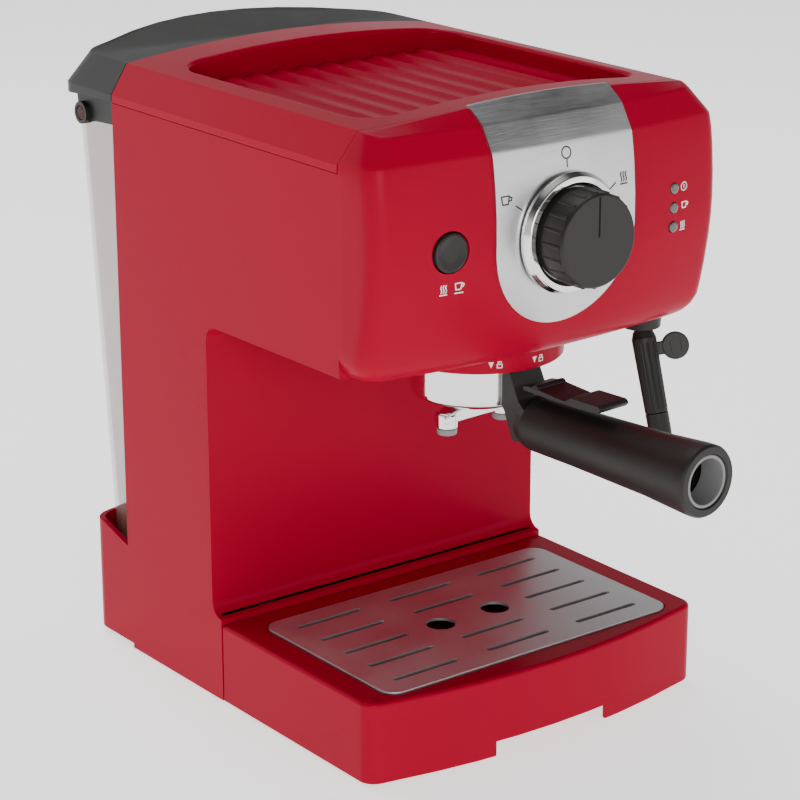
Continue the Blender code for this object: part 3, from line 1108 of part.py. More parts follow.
def lid_mesh():
    """Tank lid: a shallow shell with a sunk panel, and two ears that carry its hinge."""
    shell = cut(lid_shape(0.0, 0.0), lid_shape(LID_WALL, 12.0))
    half = HALF_WIDTH - CHAMFER_INSET - LID_RIM
    sunk = body_plan(half, LID_FRONT_Y + 4, LID_SIDE_Y - 12, LID_REAR_Y - 8 - LID_RIM, LID_CORNER - 2)
    low = [(x, y, CHAMFER_TOP_Z - LID_PANEL_SINK + crown_rise(x, half + LID_RIM)) for x, y in sunk]
    high = [(x, y, 340.0) for x, y in sunk]
    shell = cut(shell, loft([low, high]))
    for side in (-1, 1):
        inner = side * (TANK_HALF_WIDTH + EAR_CLEARANCE)
        outer = side * (TANK_HALF_WIDTH + EAR_CLEARANCE + EAR_THICK)
        ear = [(108.0, HINGE_Z - 2.0), (HINGE_Y - 10, HINGE_Z - 3.0), (HINGE_Y, HINGE_Z - HINGE_BOSS_RADIUS),
               (HINGE_Y + HINGE_BOSS_RADIUS, HINGE_Z), (HINGE_Y + 8, CHAMFER_LOW_Z + 1), (108.0, CHAMFER_LOW_Z + 1)]
        ear_mesh = prism(ear, "X", min(inner, outer), max(inner, outer))
        turn = Matrix.Rotation(math.radians(90 * side), 4, "Y")
        boss = moved(rod(HINGE_BOSS_RADIUS, HINGE_BOSS_LENGTH, 20), shift(inner, HINGE_Y, HINGE_Z) @ turn)
        hole = moved(rod(HINGE_PIN_RADIUS + GAP, 20, 20), shift(side * TANK_HALF_WIDTH, HINGE_Y, HINGE_Z) @ turn)
        shell = cut(join(shell, ear_mesh, boss), hole)
    return shell


# ================================================================ inside pieces
def tube(points, radius, sides=6, per_span=4):
    """A hose along a smooth curve through the given points."""
    path = []
    ends = [points[0]] + list(points) + [points[-1]]
    for a, b, c, d in zip(ends, ends[1:], ends[2:], ends[3:]):
        a, b, c, d = Vector(a), Vector(b), Vector(c), Vector(d)
        for i in range(per_span):
            t = i / per_span
            path.append(0.5 * (2 * b + (c - a) * t + (2 * a - 5 * b + 4 * c - d) * t * t
                               + (3 * b - a - 3 * c + d) * t ** 3))
    path.append(Vector(points[-1]))
    rings = []
    normal = None
    for i, centre in enumerate(path):
        along = (path[min(i + 1, len(path) - 1)] - path[max(i - 1, 0)]).normalized()
        if normal is None:
            normal = along.orthogonal().normalized()
        normal = (normal - normal.dot(along) * along).normalized()
        across = along.cross(normal)
        rings.append([centre + radius * (math.cos(2 * math.pi * k / sides) * normal
                                         + math.sin(2 * math.pi * k / sides) * across) for k in range(sides)])
    return loft(rings)


def make_works(machine, alloy, dark, rubber, hose, steel, board):
    """Boiler, pump, hoses, thermostats and control board inside the housing."""
    here = (0, GROUP_Y, BOILER_BOTTOM_Z)
    boiler_top = BOILER_BOTTOM_Z + BOILER_HEIGHT
    boiler = [(5.0, BOILER_BOTTOM_Z), (BOILER_RADIUS, BOILER_BOTTOM_Z), (BOILER_RADIUS + 3, BOILER_BOTTOM_Z + 4),
              (BOILER_RADIUS + 3, BOILER_BOTTOM_Z + 8), (BOILER_RADIUS, BOILER_BOTTOM_Z + 11),
              (BOILER_RADIUS, boiler_top), (BOILER_RADIUS - 4, boiler_top), (BOILER_RADIUS - 4, BOILER_BOTTOM_Z + 6),
              (5.0, BOILER_BOTTOM_Z + 6)]
    part("boiler", moved(turned(boiler, 24, closed=True), shift(0, GROUP_Y, 0)), alloy, machine, here)
    cap_low = boiler_top + GAP
    cap = [(0, cap_low), (BOILER_RADIUS, cap_low), (BOILER_RADIUS, cap_low + 4),
           (BOILER_RADIUS - 6, cap_low + CAP_HEIGHT), (0, cap_low + CAP_HEIGHT)]
    part("boiler_cap", moved(turned(cap, 24), shift(0, GROUP_Y, 0)), alloy, machine, here)
    cap_top = cap_low + CAP_HEIGHT
    for name, x, y in (("brew_thermostat", -12.0, GROUP_Y), ("steam_thermostat", 12.0, GROUP_Y)):
        disc = [(0, cap_top + GAP), (7.5, cap_top + GAP), (7.5, cap_top + 5), (5, cap_top + 6), (5, cap_top + 12),
                (0, cap_top + 12)]
        part(name, moved(turned(disc, SMALL_STEPS), shift(x, y, 0)), board, machine, (x, y, cap_top))
    fuse = moved(rod(2.4, 24, 10), along_x(-12, GROUP_Y + 16, cap_top + 2.8))
    part("thermal_fuse", fuse, steel, machine)

    pump_low = PUMP_Z
    profile = [(0, pump_low - 8), (6, pump_low - 8), (6, pump_low), (PUMP_RADIUS, pump_low),
               (PUMP_RADIUS, pump_low + PUMP_LENGTH), (9, pump_low + PUMP_LENGTH),
               (9, pump_low + PUMP_LENGTH + 14), (4, pump_low + PUMP_LENGTH + 14),
               (4, pump_low + PUMP_LENGTH + 24), (0, pump_low + PUMP_LENGTH + 24)]
    part("water_pump", moved(turned(profile, 24), shift(PUMP_X, PUMP_Y, 0)), dark, machine, (PUMP_X, PUMP_Y, PUMP_Z))
    for name, z in (("pump_mount_lower", pump_low + 6), ("pump_mount_upper", pump_low + PUMP_LENGTH - 14)):
        ring = [(PUMP_RADIUS + GAP, z), (PUMP_RADIUS + 5, z), (PUMP_RADIUS + 5, z + 8), (PUMP_RADIUS + GAP, z + 8)]
        part(name, moved(turned(ring, 24, closed=True), shift(PUMP_X, PUMP_Y, 0)), rubber, machine,
             (PUMP_X, PUMP_Y, z))

    outlet = Vector((VALVE_X, VALVE_Y, TANK_BOTTOM_Z - GAP - 17.3))
    inlet = Vector((PUMP_X, PUMP_Y, pump_low - 8.4))
    suction = [outlet, outlet + Vector((0, -1, -5)), Vector((VALVE_X - 1, VALVE_Y - 14, 29.0)),
               Vector((VALVE_X - 3, COLUMN_REAR_Y - 8, 29.0)), Vector((PUMP_X + 14, PUMP_Y + 10, 21.0)),
               inlet + Vector((2, 1, -9)), inlet]
    part("suction_hose", tube(suction, HOSE_RADIUS - 0.4), hose, machine)
    start = Vector((PUMP_X, PUMP_Y, pump_low + PUMP_LENGTH + 24.4))
    end = Vector((-20.0, GROUP_Y + BOILER_RADIUS + 3.6, boiler_top - 6))
    pressure = [start, start + Vector((0, 0, 30)), Vector((PUMP_X + 2, PUMP_Y - 10, 205.0)),
                Vector((-34.0, 20.0, 236.0)), end + Vector((0, 14, 0)), end]
    part("pressure_hose", tube(pressure, HOSE_RADIUS - 0.6), hose, machine)
    steam_start = Vector((BOILER_RADIUS + 0.6, GROUP_Y - 2, boiler_top - 6))
    steam_end = Vector((WAND_X, WAND_Y, HEAD_BOTTOM_Z + 12.4))
    steam = [steam_start, steam_start + Vector((16, -4, 3)), steam_end + Vector((-2, 3, 24)),
             steam_end + Vector((0, 0, 10)), steam_end]
    part("steam_pipe", tube(steam, 2.2), steel, machine)
    part("control_board", box((20, 86.0, 110), (88, 88.0, 200)), board, machine)


# ================================================================ assembly
def clear_scene():
    for piece in list(bpy.data.objects):
        bpy.data.objects.remove(piece)


def build():
    clear_scene()
    red = material("red_gloss_plastic", (0.50, 0.010, 0.028), 0.28)
    dark = material("black_plastic", (0.030, 0.027, 0.025), 0.42)
    grey = material("grey_silicone", (0.30, 0.30, 0.31), 0.55)
    chrome = material("chrome", (0.78, 0.76, 0.75), 0.08, 1.0)
    steel = material("brushed_steel", (0.62, 0.62, 0.63), 0.34, 1.0)
    alloy = material("cast_alloy", (0.55, 0.55, 0.56), 0.45, 1.0)
    clear = material("smoky_clear", (0.60, 0.47, 0.46), 0.08, 0.0, 0.35)
    lamp = material("lamp_lens", (0.10, 0.11, 0.10), 0.20)
    rubber = material("black_rubber", (0.020, 0.020, 0.020), 0.80)
    hose = material("silicone_hose", (0.70, 0.68, 0.64), 0.50)
    board = material("board_green", (0.02, 0.16, 0.07), 0.50)

    machine = bpy.data.objects.new("espresso_machine", None)
    bpy.context.scene.collection.objects.link(machine)
    machine["origin"] = (0.0, 0.0, 0.0)
    machine.location = (0.0, -CENTRE_Y * MM, 0.0)

    make_main_housing(machine, red)
    make_front_panel(machine, red)
    make_control_plate(machine, steel)
    make_top_cover(machine, red)
    make_rear_panel(machine, red)
    make_base(machine, dark, rubber, steel)
    make_cord_gland(machine, dark)
    make_controls(machine, dark, chrome, lamp, board, steel)
    make_group(machine, red, alloy, rubber, steel)
    make_portafilter(machine, chrome, steel, dark, grey)
    make_steam_wand(machine, dark, chrome)
    make_drip_tray(machine, red, steel)
    make_water_tank(machine, clear, dark, steel, rubber)
    make_works(machine, alloy, dark, rubber, hose, steel, board)


build()
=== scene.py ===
"""Finished look of a compact pump espresso machine, laid out as an add-on and run as a script.

Lengths in the makers are millimetres in the machine's own frame: +X right, +Y back, +Z up.
place_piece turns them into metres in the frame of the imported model.
"""
import math

import bmesh
import bpy
from mathutils import Matrix, Vector


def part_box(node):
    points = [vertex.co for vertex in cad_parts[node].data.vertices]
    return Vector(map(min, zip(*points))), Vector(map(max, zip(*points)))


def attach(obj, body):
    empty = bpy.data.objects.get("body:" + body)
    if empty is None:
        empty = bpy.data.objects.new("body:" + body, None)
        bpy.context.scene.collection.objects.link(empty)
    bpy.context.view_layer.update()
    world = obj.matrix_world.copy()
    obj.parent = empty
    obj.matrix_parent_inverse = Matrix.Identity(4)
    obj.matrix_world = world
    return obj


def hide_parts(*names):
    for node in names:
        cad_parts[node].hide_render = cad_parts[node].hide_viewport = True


bl_info = {
    "name": "Espresso Machine",
    "version": (1, 0, 0),
    "blender": (4, 5, 0),
    "location": "View3D > Sidebar > Espresso",
    "description": "Builds the finished surfaces of a compact pump espresso machine",
    "category": "Add Mesh",
}

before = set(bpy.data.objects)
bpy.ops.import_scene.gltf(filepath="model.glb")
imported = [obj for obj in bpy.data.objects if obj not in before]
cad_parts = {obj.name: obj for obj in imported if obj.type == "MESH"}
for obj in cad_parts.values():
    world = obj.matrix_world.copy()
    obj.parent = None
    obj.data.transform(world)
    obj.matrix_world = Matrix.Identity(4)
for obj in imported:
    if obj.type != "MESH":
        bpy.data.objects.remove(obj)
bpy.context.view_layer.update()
MM = 0.001


def cad_centre(node):
    """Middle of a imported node's box in millimetres."""
    low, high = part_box(node)
    return (low + high) / 2 / MM


def cad_half(node):
    """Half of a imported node's box in millimetres."""
    low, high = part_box(node)
    return (high - low) / 2 / MM


def cad_levels(node):
    """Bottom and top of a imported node's box in millimetres."""
    low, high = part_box(node)
    return low.z / MM, high.z / MM


GROUP_FROM_DATUM = -57.5
DATUM_Y = cad_centre("group_collar").y - GROUP_FROM_DATUM   # the machine frame's y = 0 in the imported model
HALF_WIDTH = cad_half("main_housing").x
SHEET_LIFT = 0.4            # clearance under the control plate
PANEL_WALL = 2.8            # wall of the front panel
ROUND = 96                  # facets round large turned pieces
SMALL_ROUND = 40            # facets round small ones
COLOUR_A = 6                # places of the colour sockets on a Mix node
COLOUR_B = 7
COLOUR_RESULT = 2

# The head's nose: height and y of its middle line, from the lip to the bend
NOSE = ((200.0, -109.0), (202.0, -111.8), (205.0, -114.0), (210.0, -116.3), (217.0, -118.2), (228.0, -120.6),
        (242.0, -123.0), (252.0, -124.1), (261.0, -124.5), (273.0, -124.3), (286.0, -123.3), (295.0, -122.1),
        (301.6, -121.0), (303.4, -120.2), (313.6, -114.3), (315.0, -113.0))
NOSE_BOW = 6.5
NOSE_CORNER = 11.0
LIP_TOP = 210.0             # the rounded lip under the head's front ends here
LIP_HEIGHT = 10.0
LIP_INSET = 7.0
BEND_Y = -103.0
BEND_BOW = 6.0
SEAM_Y = -88.0              # the seam on the head's sides
SEAM_LEAN = 3.0             # how far it leans forward up the chamfer
SEAM_MIDDLE_Y = -101.8      # the seam on top
SEAM_STRAIGHT = 45.0
SEAM_BOW = 10.8
CHAMFER_LOW = 300.7
CHAMFER_TOP = 315.7
CHAMFER_INSET = 9.7
CROWN = 6.5
SHOULDER = HALF_WIDTH - CHAMFER_INSET
COVER_REAR_Y = 103.6
COVER_LOW_Z = 297.0


# ---------------------------------------------------------------- settings
class BodySettings(bpy.types.PropertyGroup):
    """Colours and edges of the red mouldings."""
    red: bpy.props.FloatVectorProperty(name="Red", description="Colour of the red mouldings", subtype="COLOR",
                                       size=3, min=0.0, max=1.0, default=(0.33, 0.0, 0.020))
    gloss: bpy.props.FloatProperty(name="Roughness", description="Roughness of the red mouldings",
                                   default=0.30, min=0.0, max=1.0, subtype="FACTOR")
    edge_radius: bpy.props.FloatProperty(name="Edge radius", description="Rounding of moulded edges",
                                         default=0.0008, min=0.0, unit="LENGTH")
    head_radius: bpy.props.FloatProperty(name="Head edge radius", default=0.0070, min=0.0, unit="LENGTH",
                                         description="Rounding under the head's sides")
    ribs: bpy.props.IntProperty(name="Ribs", description="Ribs in the cup-warming recess", default=11, min=1)
    rib_depth: bpy.props.FloatProperty(name="Rib depth", description="Depth of the ribs", default=0.0017,
                                       min=0.0, unit="LENGTH")


class ControlSettings(bpy.types.PropertyGroup):
    """The control plate, knob, button and lamps."""
    steel: bpy.props.FloatVectorProperty(name="Steel", description="Colour of the brushed sheet",
                                         subtype="COLOR", size=3, min=0.0, max=1.0,
                                         default=(0.60, 0.60, 0.61))
    knob: bpy.props.FloatVectorProperty(name="Knob", description="Colour of the knob and button",
                                        subtype="COLOR", size=3, min=0.0, max=1.0,
                                        default=(0.016, 0.014, 0.013))
    ridges: bpy.props.IntProperty(name="Ridges", description="Grip ridges round the knob", default=20, min=3)
    plate_half_width: bpy.props.FloatProperty(name="Plate half width", default=0.042, min=0.01, unit="LENGTH",
                                              description="Half the control plate's width")
    plate_gauge: bpy.props.FloatProperty(name="Plate gauge", description="Thickness of the control plate",
                                         default=0.0009, min=0.0002, unit="LENGTH")
    mark: bpy.props.FloatVectorProperty(name="Marks", description="Colour of the printed signs on red",
                                        subtype="COLOR", size=3, min=0.0, max=1.0, default=(0.82, 0.80, 0.80))


class GroupSettings(bpy.types.PropertyGroup):
    """The brew group, the filter holder and its grip."""
    chrome: bpy.props.FloatVectorProperty(name="Chrome", description="Colour of the plating", subtype="COLOR",
                                          size=3, min=0.0, max=1.0, default=(0.80, 0.79, 0.78))
    grip: bpy.props.FloatVectorProperty(name="Grip", description="Colour of the black mouldings",
                                        subtype="COLOR", size=3, min=0.0, max=1.0,
                                        default=(0.014, 0.012, 0.011))
    grip_end: bpy.props.FloatProperty(name="Grip end radius", description="Radius of the grip at its end",
                                      default=0.0174, min=0.005, unit="LENGTH")


class TraySettings(bpy.types.PropertyGroup):
    """The drip tray's grille."""
    rows: bpy.props.IntProperty(name="Rows", description="Rows of slots", default=5, min=1)
    row_pitch: bpy.props.FloatProperty(name="Row pitch", description="Distance between rows", default=0.020,
                                       min=0.001, unit="LENGTH")
    column_pitch: bpy.props.FloatProperty(name="Column pitch", description="Distance between columns",
                                          default=0.058, min=0.001, unit="LENGTH")
    slot_length: bpy.props.FloatProperty(name="Slot length", description="Length of a slot", default=0.040,
                                         min=0.001, unit="LENGTH")
    slot_width: bpy.props.FloatProperty(name="Slot width", description="Width of a slot", default=0.0030,
                                        min=0.0005, unit="LENGTH")


class TankSettings(bpy.types.PropertyGroup):
    """The water tank and its lid."""
    tint: bpy.props.FloatVectorProperty(name="Tint", description="Colour of the clear tank", subtype="COLOR",
                                        size=3, min=0.0, max=1.0, default=(0.30, 0.15, 0.13))
    opacity: bpy.props.FloatProperty(name="Opacity", description="How much the tank hides what is behind it",
                                     default=0.24, min=0.0, max=1.0, subtype="FACTOR")
    lid: bpy.props.FloatVectorProperty(name="Lid", description="Colour of the lid", subtype="COLOR", size=3,
                                       min=0.0, max=1.0, default=(0.012, 0.011, 0.0105))


class WandSettings(bpy.types.PropertyGroup):
    """The steam wand."""
    grooves: bpy.props.IntProperty(name="Grooves", description="Grooves along the sleeve", default=12, min=1)
    lean: bpy.props.FloatProperty(name="Lean", description="Forward lean of the wand",
                                  default=math.radians(17.0), subtype="ANGLE")


class StageSettings(bpy.types.PropertyGroup):
    """Floor, light and camera."""
    floor: bpy.props.FloatVectorProperty(name="Floor", description="Colour of the floor", subtype="COLOR",
                                         size=3, min=0.0, max=1.0, default=(0.93, 0.93, 0.93))
    glow: bpy.props.FloatProperty(name="Floor glow", description="Light given off by the floor", default=1.2,
                                  min=0.0)
    sky: bpy.props.FloatProperty(name="Sky", description="Strength of the even light", default=0.75, min=0.0)
    key: bpy.props.FloatProperty(name="Key light", description="Power of the main soft light", default=20.0,
                                 min=0.0, subtype="POWER")
    lens: bpy.props.FloatProperty(name="Lens", description="Focal length", default=0.12093, min=0.01,
                                  unit="LENGTH")


# ---------------------------------------------------------------- mesh tools
def finished_mesh(bm, outward=True):
    """Mesh data from a bmesh; outward makes its faces point out."""
    if outward:
        bmesh.ops.recalc_face_normals(bm, faces=bm.faces)
    mesh = bpy.data.meshes.new("surface")
    bm.to_mesh(mesh)
    bm.free()
    return mesh


def linked(name, data):
    """A new object of mesh, lamp or camera data in the scene."""
    thing = bpy.data.objects.new(name, data)
    bpy.context.scene.collection.objects.link(thing)
    return thing


def evaluated_mesh(host):
    """Plain mesh data of an object with its modifiers applied. The object is removed."""
    graph = bpy.context.evaluated_depsgraph_get()
    result = bpy.data.meshes.new_from_object(host.evaluated_get(graph))
    bpy.data.objects.remove(host)
    return result


def loft(rings):
    """Skin closed rings of points and fill the first and last ring."""
    bm = bmesh.new()
    rows = [[bm.verts.new(point) for point in ring] for ring in rings]
    count = len(rows[0])
    for low, high in zip(rows, rows[1:]):
        for i in range(count):
            j = (i + 1) % count
            bm.faces.new((low[i], low[j], high[j], high[i]))
    bm.faces.new(rows[0])
    bm.faces.new(rows[-1])
    bmesh.ops.remove_doubles(bm, verts=bm.verts, dist=0.0005)
    return finished_mesh(bm)


def prism(outline, low, high):
    """Extrude a plan outline of (x, y) from z low to z high."""
    return loft([[(x, y, z) for x, y in outline] for z in (low, high)])


def box(low, high):
    """A block between two corners."""
    plan = [(low[0], low[1]), (high[0], low[1]), (high[0], high[1]), (low[0], high[1])]
    return prism(plan, low[2], high[2])


def arc(radius, start, sweep, steps, centre=(0.0, 0.0)):
    """Points of an arc from start through sweep, in degrees."""
    angles = [math.radians(start + sweep * k / steps) for k in range(steps + 1)]
    return [(centre[0] + radius * math.cos(angle), centre[1] + radius * math.sin(angle)) for angle in angles]


def filleted(points, radii, closed=True, steps=5):
    """Round the corners of an outline. radii is one number or one for each point."""
    count = len(points)
    sizes = [radii] * count if isinstance(radii, (int, float)) else list(radii)
    rounded = []
    for i, point in enumerate(points):
        here = Vector(point)
        if (not closed and i in (0, count - 1)) or sizes[i] <= 0:
            rounded.append(tuple(here))
            continue
        before = Vector(points[i - 1]) - here
        after = Vector(points[(i + 1) % count]) - here
        angle = before.angle(after, math.pi)
        if angle > math.pi - 0.03:
            rounded.append(tuple(here))
            continue
        reach = min(sizes[i] / math.tan(angle / 2), 0.45 * before.length, 0.45 * after.length)
        start = here + before.normalized() * reach
        end = here + after.normalized() * reach
        for k in range(steps + 1):
            t = k / steps
            rounded.append(tuple(start * (1 - t) ** 2 + here * 2 * t * (1 - t) + end * t * t))
    return rounded


def turned(profile, steps=ROUND, closed=False):
    """Turn a profile of (radius, height) about Z; an open one starts and ends on the axis."""
    rows = []
    bm = bmesh.new()
    for radius, height in profile:
        count = 1 if radius < 1e-5 else steps
        rows.append([bm.verts.new((max(radius, 0.0) * math.cos(math.tau * i / steps),
                                   max(radius, 0.0) * math.sin(math.tau * i / steps), height))
                     for i in range(count)])
    pairs = list(zip(rows, rows[1:]))
    if closed:
        pairs.append((rows[-1], rows[0]))
    for low, high in pairs:
        for i in range(steps):
            j = (i + 1) % steps
            ring = [low[i % len(low)], low[j % len(low)], high[j % len(high)], high[i % len(high)]]
            unique = list(dict.fromkeys(ring))
            if len(unique) > 2:
                bm.faces.new(unique)
    return finished_mesh(bm)


def lathe(profile, radii, steps=ROUND, closed=False, rounding=5):
    """Turn a profile about Z with its corners rounded."""
    return turned(filleted(profile, radii, closed, rounding), steps, closed)


def rod(radius, length, steps=SMALL_ROUND, edge=0.0):
    """A cylinder from z 0 to length with softened ends."""
    profile = [(0, 0), (radius, 0), (radius, length), (0, length)]
    return turned(filleted(profile, edge, closed=False) if edge else profile, steps)


def moved(mesh, matrix):
    """Move mesh data, and turn its faces back if the move mirrors it."""
    mesh.transform(matrix)
    if matrix.determinant() < 0:
        mesh.flip_normals()
    return mesh


def shift(x, y, z):
    return Matrix.Translation((x, y, z))


def turn(degrees, axis):
    return Matrix.Rotation(math.radians(degrees), 4, axis)


def towards_front(x, y, z):
    """Send +Z to -Y and put the start at a point."""
    return shift(x, y, z) @ turn(90, "X")


def merged(*meshes):
    """Several shells in one mesh, without joining their surfaces."""
    bm = bmesh.new()
    for mesh in meshes:
        bm.from_mesh(mesh)
    return finished_mesh(bm, outward=False)


def combined(mesh, operation, *tools):
    """Exact Booleans between meshes."""
    base = linked("base", mesh)
    helpers = []
    for tool in tools:
        helper = linked("tool", tool)
        modifier = base.modifiers.new("step", "BOOLEAN")
        modifier.operation = operation
        modifier.solver = "EXACT"
        modifier.object = helper
        helpers.append(helper)
    result = evaluated_mesh(base)
    for helper in helpers:
        bpy.data.objects.remove(helper)
    return result


def cut(mesh, *tools):
    return combined(mesh, "DIFFERENCE", *tools)


def join(mesh, *tools):
    return combined(mesh, "UNION", *tools)


def softened(mesh, width, segments=3, angle=30.0, choose=None):
    """Round the convex edges that are sharper than angle; choose can pick among them."""
    bm = bmesh.new()
    bm.from_mesh(mesh)
    bmesh.ops.remove_doubles(bm, verts=bm.verts, dist=0.001)
    bmesh.ops.dissolve_limit(bm, angle_limit=math.radians(0.6), verts=bm.verts, edges=bm.edges)
    limit = math.radians(angle)
    edges = [edge for edge in bm.edges if len(edge.link_faces) == 2 and edge.is_convex
             and edge.calc_face_angle(0.0) > limit and (choose is None or choose(edge))]
    bmesh.ops.bevel(bm, geom=edges, offset=width, segments=segments, profile=0.5, affect="EDGES",
                    clamp_overlap=True)
    return finished_mesh(bm, outward=False)


def cad_mesh(node):
    """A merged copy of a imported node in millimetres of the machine's frame."""
    bm = bmesh.new()
    bm.from_mesh(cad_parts[node].data)
    bmesh.ops.transform(bm, matrix=shift(0, -DATUM_Y, 0) @ Matrix.Scale(1 / MM, 4), verts=bm.verts)
    bmesh.ops.remove_doubles(bm, verts=bm.verts, dist=0.001)
    return finished_mesh(bm, outward=False)


def refinished(data, surface):
    """Put one finish in every material slot of mesh data."""
    slots = data.materials
    for index in range(len(slots)):
        slots[index] = surface
    if not slots:
        slots.append(surface)


def place_piece(name, mesh, surface, body, nodes=(), smooth=32.0):
    """Make an object from millimetre mesh data, ride it on a body and let it stand for CAD nodes."""
    mesh.transform(shift(0, DATUM_Y * MM, 0) @ Matrix.Scale(MM, 4))
    mesh.materials.clear()
    mesh.materials.append(surface)
    mesh.shade_smooth()
    mesh.set_sharp_from_angle(angle=math.radians(smooth))
    piece = linked(name, mesh)
    even = piece.modifiers.new("even", "WEIGHTED_NORMAL")
    even.keep_sharp = True
    graph = bpy.context.evaluated_depsgraph_get()
    shaded = bpy.data.meshes.new_from_object(piece.evaluated_get(graph), preserve_all_data_layers=True,
                                             depsgraph=graph)
    piece.modifiers.remove(even)
    piece.data = shaded
    shaded.name = name
    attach(piece, body)
    if nodes:
        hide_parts(*nodes)
    return piece


# ---------------------------------------------------------------- finishes
def node_at(tree, kind, **inputs):
    """A new shader node with values on its inputs; a low line in a name stands for a space."""
    node = tree.nodes.new(kind)
    for name, value in inputs.items():
        node.inputs[name.replace("_", " ")].default_value = value
    return node


def finish(name, colour, roughness, metallic=0.0, coat=0.0, alpha=1.0, grain=0.0006, bump=0.04,
           stretch=(1, 1, 1), spread=0.06, tone=0.05, edge_highlight=0.0, specular=0.5):
    """A worked surface: fine grain in the bump, patches in the roughness and tone, and a painted highlight
    that lightens convex edges.
    """
    made = bpy.data.materials.get(name)
    if made:
        return made
    made = bpy.data.materials.new(name)
    made.use_nodes = True
    made.diffuse_color = (*colour, alpha)
    tree = made.node_tree
    shader = tree.nodes["Principled BSDF"]
    for socket, value in (("Metallic", metallic), ("Coat Weight", coat), ("Coat Roughness", 0.08),
                          ("Alpha", alpha), ("Specular IOR Level", specular)):
        shader.inputs[socket].default_value = value
    coords = tree.nodes.new("ShaderNodeTexCoord")
    mapping = tree.nodes.new("ShaderNodeMapping")
    mapping.inputs["Scale"].default_value = stretch
    tree.links.new(coords.outputs["Object"], mapping.inputs["Vector"])
    fine = node_at(tree, "ShaderNodeTexNoise", Scale=1.0 / grain, Detail=3.0, Roughness=0.6)
    tree.links.new(mapping.outputs["Vector"], fine.inputs["Vector"])
    broad = node_at(tree, "ShaderNodeTexNoise", Scale=28.0, Detail=4.0, Roughness=0.55)
    tree.links.new(coords.outputs["Object"], broad.inputs["Vector"])
    relief = node_at(tree, "ShaderNodeBump", Strength=bump, Distance=0.0004)
    tree.links.new(fine.outputs["Fac"], relief.inputs["Height"])
    tree.links.new(relief.outputs["Normal"], shader.inputs["Normal"])
    mixed = tree.nodes.new("ShaderNodeMix")
    mixed.data_type = "FLOAT"
    mixed.inputs["Factor"].default_value = 0.35
    tree.links.new(broad.outputs["Fac"], mixed.inputs["A"])
    tree.links.new(fine.outputs["Fac"], mixed.inputs["B"])
    rough = node_at(tree, "ShaderNodeMapRange", From_Min=0.3, From_Max=0.7,
                    To_Min=max(roughness - spread, 0.02), To_Max=min(roughness + spread, 1.0))
    tree.links.new(mixed.outputs["Result"], rough.inputs["Value"])
    tree.links.new(rough.outputs["Result"], shader.inputs["Roughness"])
    shades = tree.nodes.new("ShaderNodeMix")
    shades.data_type = "RGBA"
    shades.inputs[COLOUR_A].default_value = (*[channel * (1 - tone) for channel in colour], 1)
    shades.inputs[COLOUR_B].default_value = (*[min(channel * (1 + tone), 1) for channel in colour], 1)
    tree.links.new(mixed.outputs["Result"], shades.inputs["Factor"])
    last = shades.outputs[COLOUR_RESULT]
    # Painted highlight: convex edges, found by pointiness, are mixed towards a lighter colour.
    if edge_highlight:
        geometry = tree.nodes.new("ShaderNodeNewGeometry")
        edge = node_at(tree, "ShaderNodeMapRange", From_Min=0.52, From_Max=0.62, To_Min=0.0, To_Max=edge_highlight)
        tree.links.new(geometry.outputs["Pointiness"], edge.inputs["Value"])
        highlight_mix = tree.nodes.new("ShaderNodeMix")
        highlight_mix.data_type = "RGBA"
        highlight_mix.inputs[COLOUR_B].default_value = (*[min(channel * 1.5 + 0.01, 1) for channel in colour], 1)
        tree.links.new(edge.outputs["Result"], highlight_mix.inputs["Factor"])
        tree.links.new(last, highlight_mix.inputs[COLOUR_A])
        last = highlight_mix.outputs[COLOUR_RESULT]
    tree.links.new(last, shader.inputs["Base Color"])
    return made


def red_moulding():
    body = bpy.context.scene.espresso_body
    return finish("red_gloss_moulding", tuple(body.red), body.gloss, grain=0.0009, bump=0.03, spread=0.035,
                  tone=0.03, edge_highlight=0.2, specular=0.05)


def black_moulding():
    grip = tuple(bpy.context.scene.espresso_group.grip)
    return finish("black_satin_moulding", grip, 0.44, grain=0.0005, bump=0.12, spread=0.07, tone=0.10,
                  edge_highlight=0.15, specular=0.3)


def knob_moulding():
    colour = tuple(bpy.context.scene.espresso_controls.knob)
    return finish("black_knob_moulding", colour, 0.40, grain=0.0005, bump=0.08, spread=0.06, tone=0.08,
                  edge_highlight=0.15, specular=0.3)


def chrome_plating():
    colour = tuple(bpy.context.scene.espresso_group.chrome)
    return finish("chrome_plating", colour, 0.09, metallic=1.0, grain=0.003, bump=0.015, spread=0.03,
                  tone=0.02)


def plate_sheet():
    """Steel with fine scratches from side to side."""
    colour = tuple(bpy.context.scene.espresso_controls.steel)
    return finish("brushed_plate", colour, 0.36, metallic=1.0, grain=0.0007, bump=0.16, stretch=(0.03, 1, 1),
                  spread=0.12, tone=0.10)


def grille_sheet():
    """Steel with fine scratches from front to back."""
    colour = tuple(bpy.context.scene.espresso_controls.steel)
    return finish("brushed_grille", colour, 0.44, metallic=0.92, grain=0.0007, bump=0.16,
                  stretch=(1, 0.03, 1), spread=0.10, tone=0.12)


def plain_steel():
    return finish("drawn_steel", (0.60, 0.59, 0.58), 0.30, metallic=1.0, grain=0.001, bump=0.06, tone=0.05)


def cast_metal():
    return finish("cast_alloy_skin", (0.52, 0.52, 0.53), 0.48, metallic=1.0, grain=0.0008, bump=0.35,
                  spread=0.1, tone=0.08)


def black_rubber():
    return finish("black_rubber_skin", (0.018, 0.018, 0.018), 0.78, grain=0.0006, bump=0.3, spread=0.1,
                  tone=0.15)


def grey_soft():
    return finish("grey_silicone_skin", (0.20, 0.20, 0.20), 0.55, grain=0.0008, bump=0.1, tone=0.08)


def pale_print():
    mark = tuple(bpy.context.scene.espresso_controls.mark)
    return finish("pale_print", mark, 0.5, grain=0.0005, bump=0.03)


